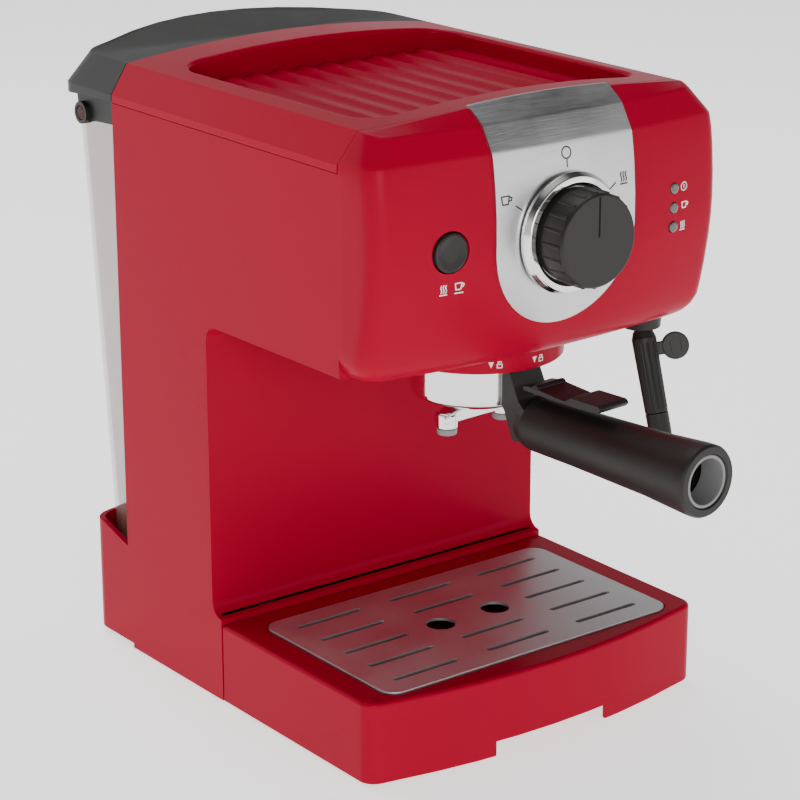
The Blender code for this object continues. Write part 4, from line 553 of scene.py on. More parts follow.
# ---------------------------------------------------------------- node trees for what repeats
def new_tree(name, sockets):
    """A geometry tree with a geometry input and output and the given (name, type, default) inputs."""
    tree = bpy.data.node_groups.new(name, "GeometryNodeTree")
    tree.interface.new_socket("Geometry", in_out="INPUT", socket_type="NodeSocketGeometry")
    for label, kind, value in sockets:
        socket = tree.interface.new_socket(label, in_out="INPUT", socket_type=kind)
        if value is not None:
            socket.default_value = value
    tree.interface.new_socket("Geometry", in_out="OUTPUT", socket_type="NodeSocketGeometry")
    return tree, tree.nodes.new("NodeGroupInput"), tree.nodes.new("NodeGroupOutput")


def close_tree(tree, geometry, leaving, finish_used):
    """End a tree in Realize Instances and Set Material."""
    realize = tree.nodes.new("GeometryNodeRealizeInstances")
    paint = tree.nodes.new("GeometryNodeSetMaterial")
    paint.inputs["Material"].default_value = finish_used
    tree.links.new(geometry, realize.inputs["Geometry"])
    tree.links.new(realize.outputs["Geometry"], paint.inputs["Geometry"])
    tree.links.new(paint.outputs["Geometry"], leaving.inputs["Geometry"])


def grown(tree, mesh, **values):
    """Run a tree on mesh data and return the plain result."""
    host = linked("host", mesh)
    modifier = host.modifiers.new("grow", "NODES")
    modifier.node_group = tree
    for item in tree.interface.items_tree:
        label = item.name.replace(" ", "_").lower()
        if item.item_type == "SOCKET" and item.in_out == "INPUT" and label in values:
            modifier[item.identifier] = values[label]
    return evaluated_mesh(host)


def ring_tree(name, finish_used):
    """Copies of an object evenly round Z, at a radius."""
    tree, entering, leaving = new_tree(name, (
        ("Count", "NodeSocketInt", 12), ("Radius", "NodeSocketFloat", 10.0),
        ("Shape", "NodeSocketObject", None)))
    circle = tree.nodes.new("GeometryNodeMeshCircle")
    shape = tree.nodes.new("GeometryNodeObjectInfo")
    instance = tree.nodes.new("GeometryNodeInstanceOnPoints")
    index = tree.nodes.new("GeometryNodeInputIndex")
    share = tree.nodes.new("ShaderNodeMath")
    share.operation = "DIVIDE"
    angle = tree.nodes.new("ShaderNodeMath")
    angle.operation = "MULTIPLY"
    angle.inputs[1].default_value = math.tau
    heading = tree.nodes.new("ShaderNodeCombineXYZ")
    tree.links.new(entering.outputs["Count"], circle.inputs["Vertices"])
    tree.links.new(entering.outputs["Radius"], circle.inputs["Radius"])
    tree.links.new(entering.outputs["Shape"], shape.inputs["Object"])
    tree.links.new(index.outputs["Index"], share.inputs[0])
    tree.links.new(entering.outputs["Count"], share.inputs[1])
    tree.links.new(share.outputs[0], angle.inputs[0])
    tree.links.new(angle.outputs[0], heading.inputs["Z"])
    tree.links.new(circle.outputs["Mesh"], instance.inputs["Points"])
    tree.links.new(shape.outputs["Geometry"], instance.inputs["Instance"])
    tree.links.new(heading.outputs["Vector"], instance.inputs["Rotation"])
    close_tree(tree, instance.outputs["Instances"], leaving, finish_used)
    return tree


def ringed(tree, shape_mesh, count, radius):
    """Copies of mesh data round Z as plain mesh data."""
    shape = linked("shape", shape_mesh)
    result = grown(tree, bpy.data.meshes.new("empty"), count=count, radius=radius, shape=shape)
    bpy.data.objects.remove(shape)
    return result


def slotted_tree(finish_used):
    """A sheet with a grid of slots cut out, without the one in the middle."""
    tree, entering, leaving = new_tree("slotted_sheet", (
        ("Columns", "NodeSocketInt", 3), ("Rows", "NodeSocketInt", 5), ("Span X", "NodeSocketFloat", 116.0),
        ("Span Y", "NodeSocketFloat", 80.0), ("Slot", "NodeSocketObject", None)))
    grid = tree.nodes.new("GeometryNodeMeshGrid")
    for source, target in (("Columns", "Vertices X"), ("Rows", "Vertices Y"), ("Span X", "Size X"),
                           ("Span Y", "Size Y")):
        tree.links.new(entering.outputs[source], grid.inputs[target])
    shape = tree.nodes.new("GeometryNodeObjectInfo")
    tree.links.new(entering.outputs["Slot"], shape.inputs["Object"])
    position = tree.nodes.new("GeometryNodeInputPosition")
    away = tree.nodes.new("ShaderNodeVectorMath")
    away.operation = "LENGTH"
    tree.links.new(position.outputs["Position"], away.inputs[0])
    keep = tree.nodes.new("FunctionNodeCompare")
    keep.data_type = "FLOAT"
    keep.operation = "GREATER_THAN"
    keep.inputs["B"].default_value = 1.0
    tree.links.new(away.outputs["Value"], keep.inputs["A"])
    instance = tree.nodes.new("GeometryNodeInstanceOnPoints")
    tree.links.new(grid.outputs["Mesh"], instance.inputs["Points"])
    tree.links.new(keep.outputs["Result"], instance.inputs["Selection"])
    tree.links.new(shape.outputs["Geometry"], instance.inputs["Instance"])
    cutters = tree.nodes.new("GeometryNodeRealizeInstances")
    tree.links.new(instance.outputs["Instances"], cutters.inputs["Geometry"])
    boolean = tree.nodes.new("GeometryNodeMeshBoolean")
    boolean.operation = "DIFFERENCE"
    boolean.solver = "EXACT"
    tree.links.new(entering.outputs["Geometry"], boolean.inputs["Mesh 1"])
    tree.links.new(cutters.outputs["Geometry"], boolean.inputs["Mesh 2"])
    close_tree(tree, boolean.outputs["Mesh"], leaving, finish_used)
    return tree


# ---------------------------------------------------------------- shapes of the head
def nose_front(z):
    """Y of the nose's middle line at height z."""
    if z <= NOSE[0][0]:
        return NOSE[0][1]
    for (low, start), (high, end) in zip(NOSE, NOSE[1:]):
        if z <= high:
            return start + (end - start) * (z - low) / (high - low)
    return NOSE[-1][1]


def nose_roll(z):
    """How far the sides come in at the rounded lip and on the chamfer."""
    if z < LIP_TOP:
        return LIP_INSET * ((LIP_TOP - z) / LIP_HEIGHT) ** 2
    return max(CHAMFER_INSET * (z - CHAMFER_LOW) / (CHAMFER_TOP - CHAMFER_LOW), 0.0)


def nose_y(x, z):
    """Y of the front surface at x and z."""
    inner = HALF_WIDTH - nose_roll(z) - NOSE_CORNER
    return nose_front(z) + NOSE_BOW * min(abs(x) / inner, 1.0) ** 2


def crown_z(x):
    return CHAMFER_TOP + CROWN * (1 - min(abs(x) / SHOULDER, 1.0) ** 2)


def seam_y(x):
    """The bowed seam on top between the front panel and the cover."""
    reach = max(abs(x) - SEAM_STRAIGHT, 0.0) / (SHOULDER - SEAM_STRAIGHT)
    return SEAM_MIDDLE_Y + SEAM_BOW * reach ** 2


def bend_y(x):
    """The bowed line where the front turns into the flat top."""
    return BEND_Y + BEND_BOW * min(abs(x) / SHOULDER, 1.0) ** 4


STRIP_STEPS = 4             # steps of the front panel's grid behind, round and between its corners
CORNER_STEPS = 8
MIDDLE_STEPS = 28
LENSES = ("indicator_lens_1", "indicator_lens_2", "indicator_lens_3")


def across(half):
    """Even steps from one side to the other."""
    return [half * (2 * k / MIDDLE_STEPS - 1) for k in range(MIDDLE_STEPS + 1)]


def nose_row(z):
    """One level of the front panel from its left seam to its right seam."""
    side = HALF_WIDTH - nose_roll(z)
    inner = side - NOSE_CORNER
    corner_y = nose_front(z) + NOSE_BOW + NOSE_CORNER
    seam = SEAM_Y - SEAM_LEAN * max(z - CHAMFER_LOW, 0.0) / (CHAMFER_TOP - CHAMFER_LOW)
    corner_y = min(corner_y, seam - 1.0)
    left = [(-side, seam + (corner_y - seam) * k / STRIP_STEPS, z) for k in range(STRIP_STEPS)]
    left += [(x, y, z) for x, y in arc(NOSE_CORNER, 180, 84, CORNER_STEPS, (-inner, corner_y))[:-1]]
    middle = [(x, nose_y(x, z), z) for x in across(inner)]
    return left + middle + [(-x, y, z) for x, y, z in reversed(left)]


def top_row():
    """The row where the front panel turns into the flat top."""
    corner = bend_y(SHOULDER)
    row = [(-SHOULDER, seam_y(SHOULDER) + (corner - seam_y(SHOULDER)) * k / STRIP_STEPS, CHAMFER_TOP)
           for k in range(STRIP_STEPS)]
    row += [(-SHOULDER, corner, CHAMFER_TOP)] * CORNER_STEPS
    middle = [(x, bend_y(x), crown_z(x)) for x in across(SHOULDER)]
    return row + middle + [(-x, y, z) for x, y, z in reversed(row)]


def sheet(rows, thickness, outward):
    """A wall grown from a grid of points; outward is a rough direction of its outer side."""
    bm = bmesh.new()
    for row_a, row_b in zip(rows, rows[1:]):
        for i in range(len(row_a) - 1):
            corners = [bm.verts.new(p) for p in (row_a[i], row_a[i + 1], row_b[i + 1], row_b[i])]
            bm.faces.new(corners)
    bmesh.ops.remove_doubles(bm, verts=bm.verts, dist=0.02)
    bmesh.ops.recalc_face_normals(bm, faces=bm.faces)
    total = sum((face.normal * face.calc_area() for face in bm.faces), Vector())
    if total.dot(Vector(outward)) < 0:
        bmesh.ops.reverse_faces(bm, faces=bm.faces)
    host = linked("host", finished_mesh(bm, outward=False))
    wall = host.modifiers.new("wall", "SOLIDIFY")
    wall.thickness = abs(thickness)
    wall.offset = 1.0 if thickness > 0 else -1.0
    return evaluated_mesh(host)


def front_hole(centre, radius):
    """A tool that bores through the front panel."""
    return moved(rod(radius, 40), towards_front(centre.x, -95, centre.z))


def front_panel_mesh():
    """The rolled front with its holes, and the strip of roof behind the bend."""
    rows = [nose_row(z) for z, y in NOSE]
    rows.append(top_row())
    shell = sheet(rows, -PANEL_WALL, (0, -1, 0))
    strip = [[(x, bend_y(x) + (seam_y(x) - bend_y(x)) * k / STRIP_STEPS, crown_z(x))
              for x in across(SHOULDER)] for k in range(STRIP_STEPS + 1)]
    roof = sheet(strip, -PANEL_WALL, (0, 0, 1))
    button_hole = 10.0
    lens_gap = 0.3
    holes = [front_hole(cad_centre("brew_button"), button_hole)]
    for node in LENSES:
        holes.append(front_hole(cad_centre(node), cad_half(node).x + lens_gap))
    return merged(cut(shell, *holes), roof)


def rounded_rectangle(half, low, high, corner, steps=12):
    """Plan outline from -half to half across and from low to high along Y."""
    points = [(half, low), (half, high), (-half, high), (-half, low)]
    outline = []
    for (x, y), start in zip(points, (270, 0, 90, 180)):
        centre_x = x - math.copysign(corner, x)
        centre_y = y + corner if y == low else y - corner
        outline += arc(corner, start, 90, steps, (centre_x, centre_y))
    return outline


# ---------------------------------------------------------------- operators
class ESPRESSO_OT_stage(bpy.types.Operator):
    """Floor, soft light and camera"""
    bl_idname = "espresso.stage"
    bl_label = "Stage"

    def execute(self, context):
        stage = context.scene.espresso_stage
        bm = bmesh.new()
        bmesh.ops.create_grid(bm, x_segments=1, y_segments=1, size=6.0)
        mesh = finished_mesh(bm, outward=False)
        pale = finish("pale_floor", tuple(stage.floor), 0.8, grain=0.004, bump=0.02, tone=0.01, specular=0.1)
        shader = pale.node_tree.nodes["Principled BSDF"]
        shader.inputs["Emission Color"].default_value = (1.0, 1.0, 1.0, 1.0)
        shader.inputs["Emission Strength"].default_value = stage.glow
        mesh.materials.append(pale)
        linked("floor", mesh)

        world = bpy.data.worlds.new("studio")
        world.use_nodes = True
        context.scene.world = world
        tree = world.node_tree
        light = tree.nodes["Background"]
        light.inputs["Strength"].default_value = stage.sky
        coords = tree.nodes.new("ShaderNodeTexCoord")
        split = tree.nodes.new("ShaderNodeSeparateXYZ")
        ramp = tree.nodes.new("ShaderNodeValToRGB")
        bands = ((0.0, 1.0), (0.30, 1.0), (0.48, 0.30), (0.66, 0.06), (0.86, 0.10), (1.0, 0.8))
        for place, level in bands[2:]:
            ramp.color_ramp.elements.new(place)
        for element, (place, level) in zip(ramp.color_ramp.elements, bands):
            element.position = place
            element.color = (level, level, level, 1)
        tree.links.new(coords.outputs["Generated"], split.inputs["Vector"])
        tree.links.new(split.outputs["Z"], ramp.inputs["Fac"])
        tree.links.new(ramp.outputs["Color"], light.inputs["Color"])

        middle = Vector((0.0, 0.0, 0.16))
        lamps = (("key_light", (-1.1, -1.8, 0.75), 1.2, 1.0), ("fill_light", (1.2, -1.8, 0.6), 1.2, 0.2),
                 ("top_light", (0.1, 0.7, 1.7), 1.3, 0.85), ("back_light", (-0.8, 1.8, 0.8), 1.2, 0.3))
        for name, place, size, share in lamps:
            data = bpy.data.lights.new(name, "AREA")
            data.shape = "DISK"
            data.size = size
            data.energy = share * stage.key
            lamp = linked(name, data)
            lamp.location = place
            lamp.rotation_euler = (middle - Vector(place)).to_track_quat("-Z", "Y").to_euler()

        looking_down = 18.73
        heading = -37.58
        data = bpy.data.cameras.new("view")
        data.sensor_width = 36.0
        data.lens = stage.lens / MM
        data.shift_x = -0.01655
        data.shift_y = 0.02524
        data.clip_start = 0.05
        camera = linked("view", data)
        camera.location = (-0.7933, (-1038.38 + DATUM_Y) * MM, 0.57836)
        camera.rotation_euler = (math.radians(90 - looking_down), 0.0, math.radians(heading))
        context.scene.camera = camera
        return {"FINISHED"}


class ESPRESSO_OT_housing(bpy.types.Operator):
    """Side walls, column and cradle in one red moulding"""
    bl_idname = "espresso.housing"
    bl_label = "Housing"

    def execute(self, context):
        body = context.scene.espresso_body
        mesh = cad_mesh("main_housing")

        def under_head(edge):
            middle = (edge.verts[0].co + edge.verts[1].co) / 2
            head_bottom = NOSE[0][0]
            at_side = abs(middle.x) > HALF_WIDTH - 0.2 and abs(middle.z - head_bottom) < 0.3
            return at_side and middle.y < 20.0

        mesh = softened(mesh, body.head_radius / MM, segments=8, choose=under_head)
        mesh = softened(mesh, body.edge_radius / MM, segments=2, angle=40.0,
                        choose=lambda edge: max(abs(v.co.x) for v in edge.verts) < HALF_WIDTH + 1)
        place_piece("housing", mesh, red_moulding(), "machine", ("main_housing",), smooth=40.0)
        return {"FINISHED"}


class ESPRESSO_OT_front_panel(bpy.types.Operator):
    """The bowed front of the head"""
    bl_idname = "espresso.front_panel"
    bl_label = "Front panel"

    def execute(self, context):
        place_piece("front_panel_skin", front_panel_mesh(), red_moulding(), "machine",
                    ("front_panel",), smooth=50.0)
        return {"FINISHED"}


class ESPRESSO_OT_cover(bpy.types.Operator):
    """The top cover with its ribbed cup-warming recess"""
    bl_idname = "espresso.cover"
    bl_label = "Top cover"

    def execute(self, context):
        body = context.scene.espresso_body
        count = 40
        middle = [SHOULDER * (1 - 2 * k / count) for k in range(count + 1)]
        section = [(HALF_WIDTH, COVER_LOW_Z), (HALF_WIDTH, CHAMFER_LOW)]
        section += [(x, crown_z(x)) for x in middle]
        section += [(-HALF_WIDTH, CHAMFER_LOW), (-HALF_WIDTH, COVER_LOW_Z)]

        def front_of(x, z):
            lift = min(max((z - CHAMFER_LOW) / (CHAMFER_TOP - CHAMFER_LOW), 0.0), 1.0)
            return seam_y(x) * lift + SEAM_Y * (1 - lift)

        front = [(x, front_of(x, z) + 0.3, z) for x, z in section]
        rear = [(x, COVER_REAR_Y, z) for x, z in section]
        shell = loft([front, rear])
        inside = HALF_WIDTH - 3.0
        under_recess = 304.0
        inner = [(inside, COVER_LOW_Z - 5), (inside, CHAMFER_LOW - 1.2), (SHOULDER - 2.2, under_recess),
                 (-SHOULDER + 2.2, under_recess), (-inside, CHAMFER_LOW - 1.2), (-inside, COVER_LOW_Z - 5)]
        hollow = loft([[(x, y, z) for x, z in inner] for y in (SEAM_Y - 4, COVER_REAR_Y + 5)])
        shell = cut(shell, hollow)
        half = 83.5
        well_front = -84.0
        well_rear = 77.0
        floor_z = 308.5
        pitch = 2 * half / body.ribs
        depth = body.rib_depth / MM
        waves = [(half + 4, 340.0), (-half - 4, 340.0), (-half - 4, floor_z)]
        for rib in range(body.ribs):
            for share in (0.0, 0.1, 0.25, 0.4, 0.55, 0.7, 0.82, 0.92, 0.97):
                dip = depth * math.sin(math.pi * share ** 1.25)
                waves.append((-half + (rib + share) * pitch, floor_z - dip))
        waves.append((half + 4, floor_z))
        ribs = loft([[(x, y, z) for x, z in waves] for y in (-95.0, 90.0)])
        outline = rounded_rectangle(half, well_front, well_rear, 18.0)
        well = loft([[(x, y, z) for x, y in outline] for z in (290.0, 345.0)])
        pocket = combined(ribs, "INTERSECT", well)
        mesh = cut(shell, pocket)

        def on_rim(edge):
            return all(abs(v.co.x) < half + 0.5 and well_front - 1 < v.co.y < well_rear + 1 and v.co.z > 314.0
                       for v in edge.verts)

        mesh = softened(mesh, 2.2, segments=5, angle=35.0, choose=on_rim)
        place_piece("top_cover_skin", mesh, red_moulding(), "machine", ("top_cover",), 28.0)
        return {"FINISHED"}


class ESPRESSO_OT_control_plate(bpy.types.Operator):
    """The brushed sheet behind the knob, bent over the head's front edge"""
    bl_idname = "espresso.control_plate"
    bl_label = "Control plate"

    def execute(self, context):
        controls = context.scene.espresso_controls
        half = controls.plate_half_width / MM
        plate_bottom = 217.0
        tip = plate_bottom + half
        rows = [(tip - down, side) for down, side in arc(half, 0, 90, 18)]
        rows += [(z, half) for z, y in NOSE if z > tip + 1]
        columns = [k / 8 - 1 for k in range(17)]
        grid = [[(w * u, nose_y(w * u, z), z) for u in columns] for z, w in rows]
        grid.append([(half * u, bend_y(half * u), crown_z(half * u)) for u in columns])
        grid.append([(half * u, seam_y(half * u) + 0.2, crown_z(half * u)) for u in columns])
        base = sheet(grid, SHEET_LIFT + controls.plate_gauge / MM, (0, -1, 0))
        place_piece("control_plate_skin", base, plate_sheet(), "machine", ("control_plate",),
                    50.0)
        return {"FINISHED"}


class ESPRESSO_OT_knob(bpy.types.Operator):
    """The selector knob with its ridges and the plated bezel round it"""
    bl_idname = "espresso.knob"
    bl_label = "Selector knob"

    def execute(self, context):
        controls = context.scene.espresso_controls
        centre = cad_centre("knob_bezel")
        face_y = centre.y - DATUM_Y + cad_half("knob_bezel").y
        place = towards_front(0, face_y, centre.z)
        ring = [(22.6, 0.0), (29.0, 0.0), (29.0, 1.6), (27.4, 4.6), (24.4, 5.0), (23.2, 3.0), (22.6, 2.6)]
        bezel = lathe(ring, (0, 0, 0.6, 1.2, 0.6, 0.6, 0.2), closed=True)
        place_piece("bezel_ring", moved(bezel, place), chrome_plating(), "machine", ("knob_bezel",),
                    40.0)

        profile = [(0, 2.2), (22.0, 2.2), (22.0, 6.0), (22.6, 6.4), (22.4, 19.4), (21.6, 21.0), (0, 21.0)]
        core = lathe(profile, (0, 0.3, 0.3, 0.3, 0.8, 0.8, 0))
        flat_rod = shift(0, 0, 7.4) @ Matrix.Diagonal((0.75, 1.0, 1.0, 1.0))
        ridge = moved(rod(1.15, 11.5, 14, edge=0.8), flat_rod)
        ridges = ringed(ring_tree("knob_ridges", knob_moulding()), ridge, controls.ridges, 22.3)
        shaft = moved(rod(4.0, 23.0), shift(0, 0, -20.0))
        knob = merged(core, ridges, shaft)
        place_piece("selector_knob_skin", moved(knob, place), knob_moulding(), "selector",
                    ("selector_knob",), 35.0)
        pointer = box((-0.5, 2.0, 20.9), (0.5, 21.0, 21.06))
        ink = finish("pointer_ink", (0.002, 0.002, 0.002), 0.5, grain=0.0005, bump=0.03, specular=0.1)
        place_piece("knob_pointer", moved(pointer, place), ink, "selector")
        return {"FINISHED"}


class ESPRESSO_OT_button(bpy.types.Operator):
    """The brew button and the three lamps"""
    bl_idname = "espresso.button"
    bl_label = "Button and lamps"

    def execute(self, context):
        middle = cad_centre("brew_button")
        half = cad_half("brew_button")
        front = middle.y - half.y - DATUM_Y
        length = 2 * half.y
        profile = [(0, -length), (3.0, -length), (3.0, -9.0), (half.x, -9.0), (half.x, -0.6),
                   (half.x - 1.1, 0.0), (half.x * 0.5, -0.9), (0, -1.3)]
        cap = lathe(profile, (0, 0, 0, 0, 0.5, 0.8, 4.0, 0))
        place_piece("brew_button_cap", moved(cap, towards_front(middle.x, front, middle.z)), knob_moulding(),
                    "brew_key", ("brew_button",), 35.0)
        glassy = finish("lamp_lens_skin", (0.072, 0.072, 0.066), 0.16, coat=0.6, grain=0.0008, bump=0.02,
                        tone=0.04)
        for number, node in enumerate(LENSES, 1):
            lens = cad_centre(node)
            size = cad_half(node)
            lens_front = lens.y - size.y - DATUM_Y
            dome = [(0, -2 * size.y), (size.x, -2 * size.y), (size.x, -0.5), (size.x * 0.7, -0.15), (0, 0.0)]
            shape = lathe(dome, (0, 0, 0.4, 0.6, 0), SMALL_ROUND)
            shape = moved(shape, towards_front(lens.x, lens_front, lens.z))
            place_piece("lamp_lens_%d" % number, shape, glassy, "machine", (node,), 35.0)
        return {"FINISHED"}


def ribbon(points, width, thick, closed=False):
    """A flat raised line through (x, z) points on the plane y = 0, standing towards -Y."""
    bars = []
    pairs = list(zip(points, points[1:]))
    if closed:
        pairs.append((points[-1], points[0]))
    for (x0, z0), (x1, z1) in pairs:
        along = Vector((x1 - x0, z1 - z0))
        side = Vector((-along.y, along.x)).normalized() * width / 2
        end = along.normalized() * width * 0.3
        corners = [(x0 - end.x + side.x, z0 - end.y + side.y), (x0 - end.x - side.x, z0 - end.y - side.y),
                   (x1 + end.x - side.x, z1 + end.y - side.y), (x1 + end.x + side.x, z1 + end.y + side.y)]
        bars.append(loft([[(x, y, z) for x, z in corners] for y in (0.0, -thick)]))
    return merged(*bars)


def cup_sign(x, z, size):
    """Lines of a small cup."""
    s = size / 2
    bowl = [(x + u * s, z + v * s) for u, v in ((-1, 0.6), (-0.75, -0.75), (0.35, -0.75), (0.6, 0.6))]
    ear = [(x + u * s, z + v * s) for u, v in ((0.6, 0.4), (1.1, 0.3), (0.95, -0.2), (0.5, -0.25))]
    return [(bowl, True), (ear, False)]


def steam_sign(x, z, size):
    """Three rising wavy lines over a short base line."""
    s = size / 2
    lines = [([(x - 0.8 * s, z - s), (x + 0.8 * s, z - s)], False)]
    for shift_x in (-0.55 * s, 0.0, 0.55 * s):
        wave = [(x + shift_x + 0.14 * s * math.sin(k * 1.6), z - 0.6 * s + 0.4 * s * k) for k in range(5)]
        lines.append((wave, False))
    return lines


def ring_sign(x, z, radius, steps=20):
    """A ring of straight lines."""
    return [(arc(radius, 0, 360, steps, (x, z))[:-1], True)]


def laid_sign(lines, width, lift, thick):
    """Lines laid on the bowed front, lifted above it."""
    bars = []
    for points, closed in lines:
        bar = ribbon(points, width, thick, closed)
        for vertex in bar.vertices:
            vertex.co.y += nose_y(vertex.co.x, vertex.co.z) - lift
        bars.append(bar)
    return merged(*bars)


class ESPRESSO_OT_signs(bpy.types.Operator):
    """Small plain signs beside the knob, lamps and button"""
    bl_idname = "espresso.signs"
    bl_label = "Signs"

    def execute(self, context):
        dark = finish("dark_print", (0.03, 0.03, 0.032), 0.5, grain=0.0005, bump=0.03)
        on_plate = ring_sign(0.0, 298.3, 2.7) + [([(0.0, 295.0), (0.0, 291.8)], False)]
        on_plate += cup_sign(-36.3, 281.5, 5.6) + [([(-31.0, 278.0), (-27.6, 275.6)], False)]
        on_plate += steam_sign(34.7, 281.6, 5.6) + [([(29.4, 280.0), (26.0, 277.7)], False)]
        sunk = 0.03
        plate_face = SHEET_LIFT + context.scene.espresso_controls.plate_gauge / MM
        on_plate = laid_sign(on_plate, 0.75, plate_face - sunk, 0.10)
        place_piece("plate_signs", on_plate, dark, "machine")
        on_red = ring_sign(77.6, 270.3, 2.0) + [([(77.6, 271.2), (77.6, 269.6)], False)]
        on_red += cup_sign(78.4, 261.3, 4.2) + steam_sign(77.8, 250.8, 4.2)
        on_red += steam_sign(-69.0, 243.6, 4.6) + cup_sign(-60.6, 244.6, 4.6)
        on_red += [([(-62.8, 241.2), (-58.4, 241.2)], False)]
        place_piece("panel_signs", laid_sign(on_red, 0.55, -sunk, 0.10), pale_print(), "machine")
        return {"FINISHED"}


class ESPRESSO_OT_group(bpy.types.Operator):
    """The collar under the head"""
    bl_idname = "espresso.group"
    bl_label = "Brew group"

    def execute(self, context):
        outer = cad_half("group_collar").x
        bottom, top = cad_levels("group_collar")
        inner = outer - 3.0
        profile = [(inner, bottom + 0.4), (outer, bottom), (outer, top), (inner, top)]
        collar = lathe(profile, (0.4, 1.6, 0, 0), 2 * ROUND, closed=True)
        place_piece("collar_skin", moved(collar, shift(0, GROUP_FROM_DATUM, 0)), red_moulding(), "machine",
                    ("group_collar",))
        marks = []
        for degrees, locked in ((-29.0, False), (1.6, True)):
            arrow = loft([[(-1.3, y, 194.4), (1.3, y, 194.4), (0.0, y, 191.4)] for y in (0.05, -0.12)])
            shapes = [arrow]
            lock = [([(3.0, 191.4), (5.4, 191.4), (5.4, 193.1), (3.0, 193.1)], True),
                    ([(3.5, 193.1), (3.5, 194.4), (4.9, 194.4), (4.9, 193.1 if locked else 193.8)], False)]
            for points, closed in lock:
                shapes.append(ribbon(points, 0.45, 0.10, closed))
            sign = moved(merged(*shapes), shift(0, -outer, 0))
            for vertex in sign.vertices:
                angle = vertex.co.x / outer
                reach = -vertex.co.y
                vertex.co.x = reach * math.sin(angle)
                vertex.co.y = -reach * math.cos(angle)
            marks.append(moved(sign, shift(0, GROUP_FROM_DATUM, 0) @ turn(degrees, "Z")))
        place_piece("collar_signs", merged(*marks), pale_print(), "machine")
        return {"FINISHED"}


HANDLE_TURN = 4.0           # the locked grip stands this far off straight ahead
HOLDER_RADIUS = 32.0
HOLDER_BOTTOM = 167.0
HOLDER_TOP = 195.0
SPOUT_X = 18.6
SPOUT_BOTTOM = 151.5
HANDLE_AXIS_Z = 160.5
HANDLE_ROOT = 33.5
HANDLE_END = 155.5
RECESS_RADIUS = 12.8
CLIP_PIVOT = 52.0
CLIP_PIVOT_Z = 181.0
WAND_BALL = (82.0, -87.0, 195.5)
TAB_OUT = 15.0              # middle of the thumb tab from the wand's axis
TAB_TURN = 35.0             # where it stands round the wand


def on_group():
    """The locked filter holder's frame."""
    return shift(0, GROUP_FROM_DATUM, 0) @ turn(HANDLE_TURN, "Z")


class ESPRESSO_OT_holder(bpy.types.Operator):
    """Filter holder, basket, twin spout and tips"""
    bl_idname = "espresso.holder"
    bl_label = "Filter holder"

    def execute(self, context):
        floor = HOLDER_BOTTOM
        inner = HOLDER_RADIUS - 2.2
        wall = HOLDER_RADIUS
        profile = [(2.2, floor - 5.5), (13.0, floor - 5.5), (wall - 7, floor - 2.4),
                   (wall - 0.4, floor + 0.6), (wall, floor + 3.2), (wall, HOLDER_TOP),
                   (inner, HOLDER_TOP), (inner, floor + 2.4), (12.0, floor - 2.0), (2.2, floor - 2.6)]
        holder = lathe(profile, (0, 2, 4, 2.5, 1.0, 0.5, 0.4, 2, 2, 0), closed=True)
        lug_sweep = 34.0
        for side in (0.0, 180.0):
            start = side - lug_sweep / 2
            ring = arc(HOLDER_RADIUS + 4.2, start, lug_sweep, 14)
            ring += arc(HOLDER_RADIUS - 1.2, start, lug_sweep, 14)[::-1]
            lug = softened(prism(ring, HOLDER_TOP - 3.6, HOLDER_TOP), 0.5, 2)
            holder = join(holder, lug)
        reach = SPOUT_X + 4.6
        outline = [(-reach, SPOUT_BOTTOM + 3.0), (reach, SPOUT_BOTTOM + 3.0), (reach, floor - 8.5),
                   (9.0, floor - 5.0), (-9.0, floor - 5.0), (-reach, floor - 8.5)]
        beam = loft([[(x, y, z) for x, z in filleted(outline, (1, 1, 3, 2, 2, 3))] for y in (-4.7, 4.7)])
        beam = softened(beam, 1.6, 4, angle=50.0)
        holder = join(holder, beam)
        for x in (-SPOUT_X, SPOUT_X):
            spout = [(0, SPOUT_BOTTOM), (5.2, SPOUT_BOTTOM), (5.2, floor - 7.6), (0, floor - 7.0)]
            holder = join(holder, moved(lathe(spout, (0, 0.5, 1.8, 0), SMALL_ROUND), shift(x, 0, 0)))
        for x in (-SPOUT_X, SPOUT_X):
            holder = cut(holder, moved(rod(2.8, 8), shift(x, 0, SPOUT_BOTTOM - 2)))
        place_piece("filter_holder_shell", moved(holder, on_group()), chrome_plating(), "portafilter",
                    ("filter_holder",), 36.0)

        rim = HOLDER_TOP + 0.3
        cup = inner - 1.0
        section = [(0, floor + 5.0), (cup - 4, floor + 5.0), (cup - 1.0, floor + 8.0), (cup - 1.0, rim),
                   (HOLDER_RADIUS - 1.0, rim), (HOLDER_RADIUS - 1.0, rim + 0.8), (cup - 2.0, rim + 0.8),
                   (cup - 2.0, floor + 8.4), (cup - 4.6, floor + 6.0), (0, floor + 6.0)]
        basket = lathe(section, (0, 2, 2, 0.3, 0.2, 0.3, 0.8, 2, 2, 0))
        place_piece("filter_basket_shell", moved(basket, on_group()), plain_steel(), "portafilter",
                    ("filter_basket",), 36.0)

        for name, x in (("left", -SPOUT_X), ("right", SPOUT_X)):
            bottom, top = cad_levels("spout_tip_" + name)
            section = [(2.8, bottom), (5.0, bottom), (5.0, top), (2.8, top)]
            tip = lathe(section, (0.4, 1.8, 0.2, 0), SMALL_ROUND, closed=True)
            place_piece("spout_end_" + name, moved(tip, on_group() @ shift(x, 0, 0)), grey_soft(),
                        "portafilter", ("spout_tip_" + name,))
        return {"FINISHED"}


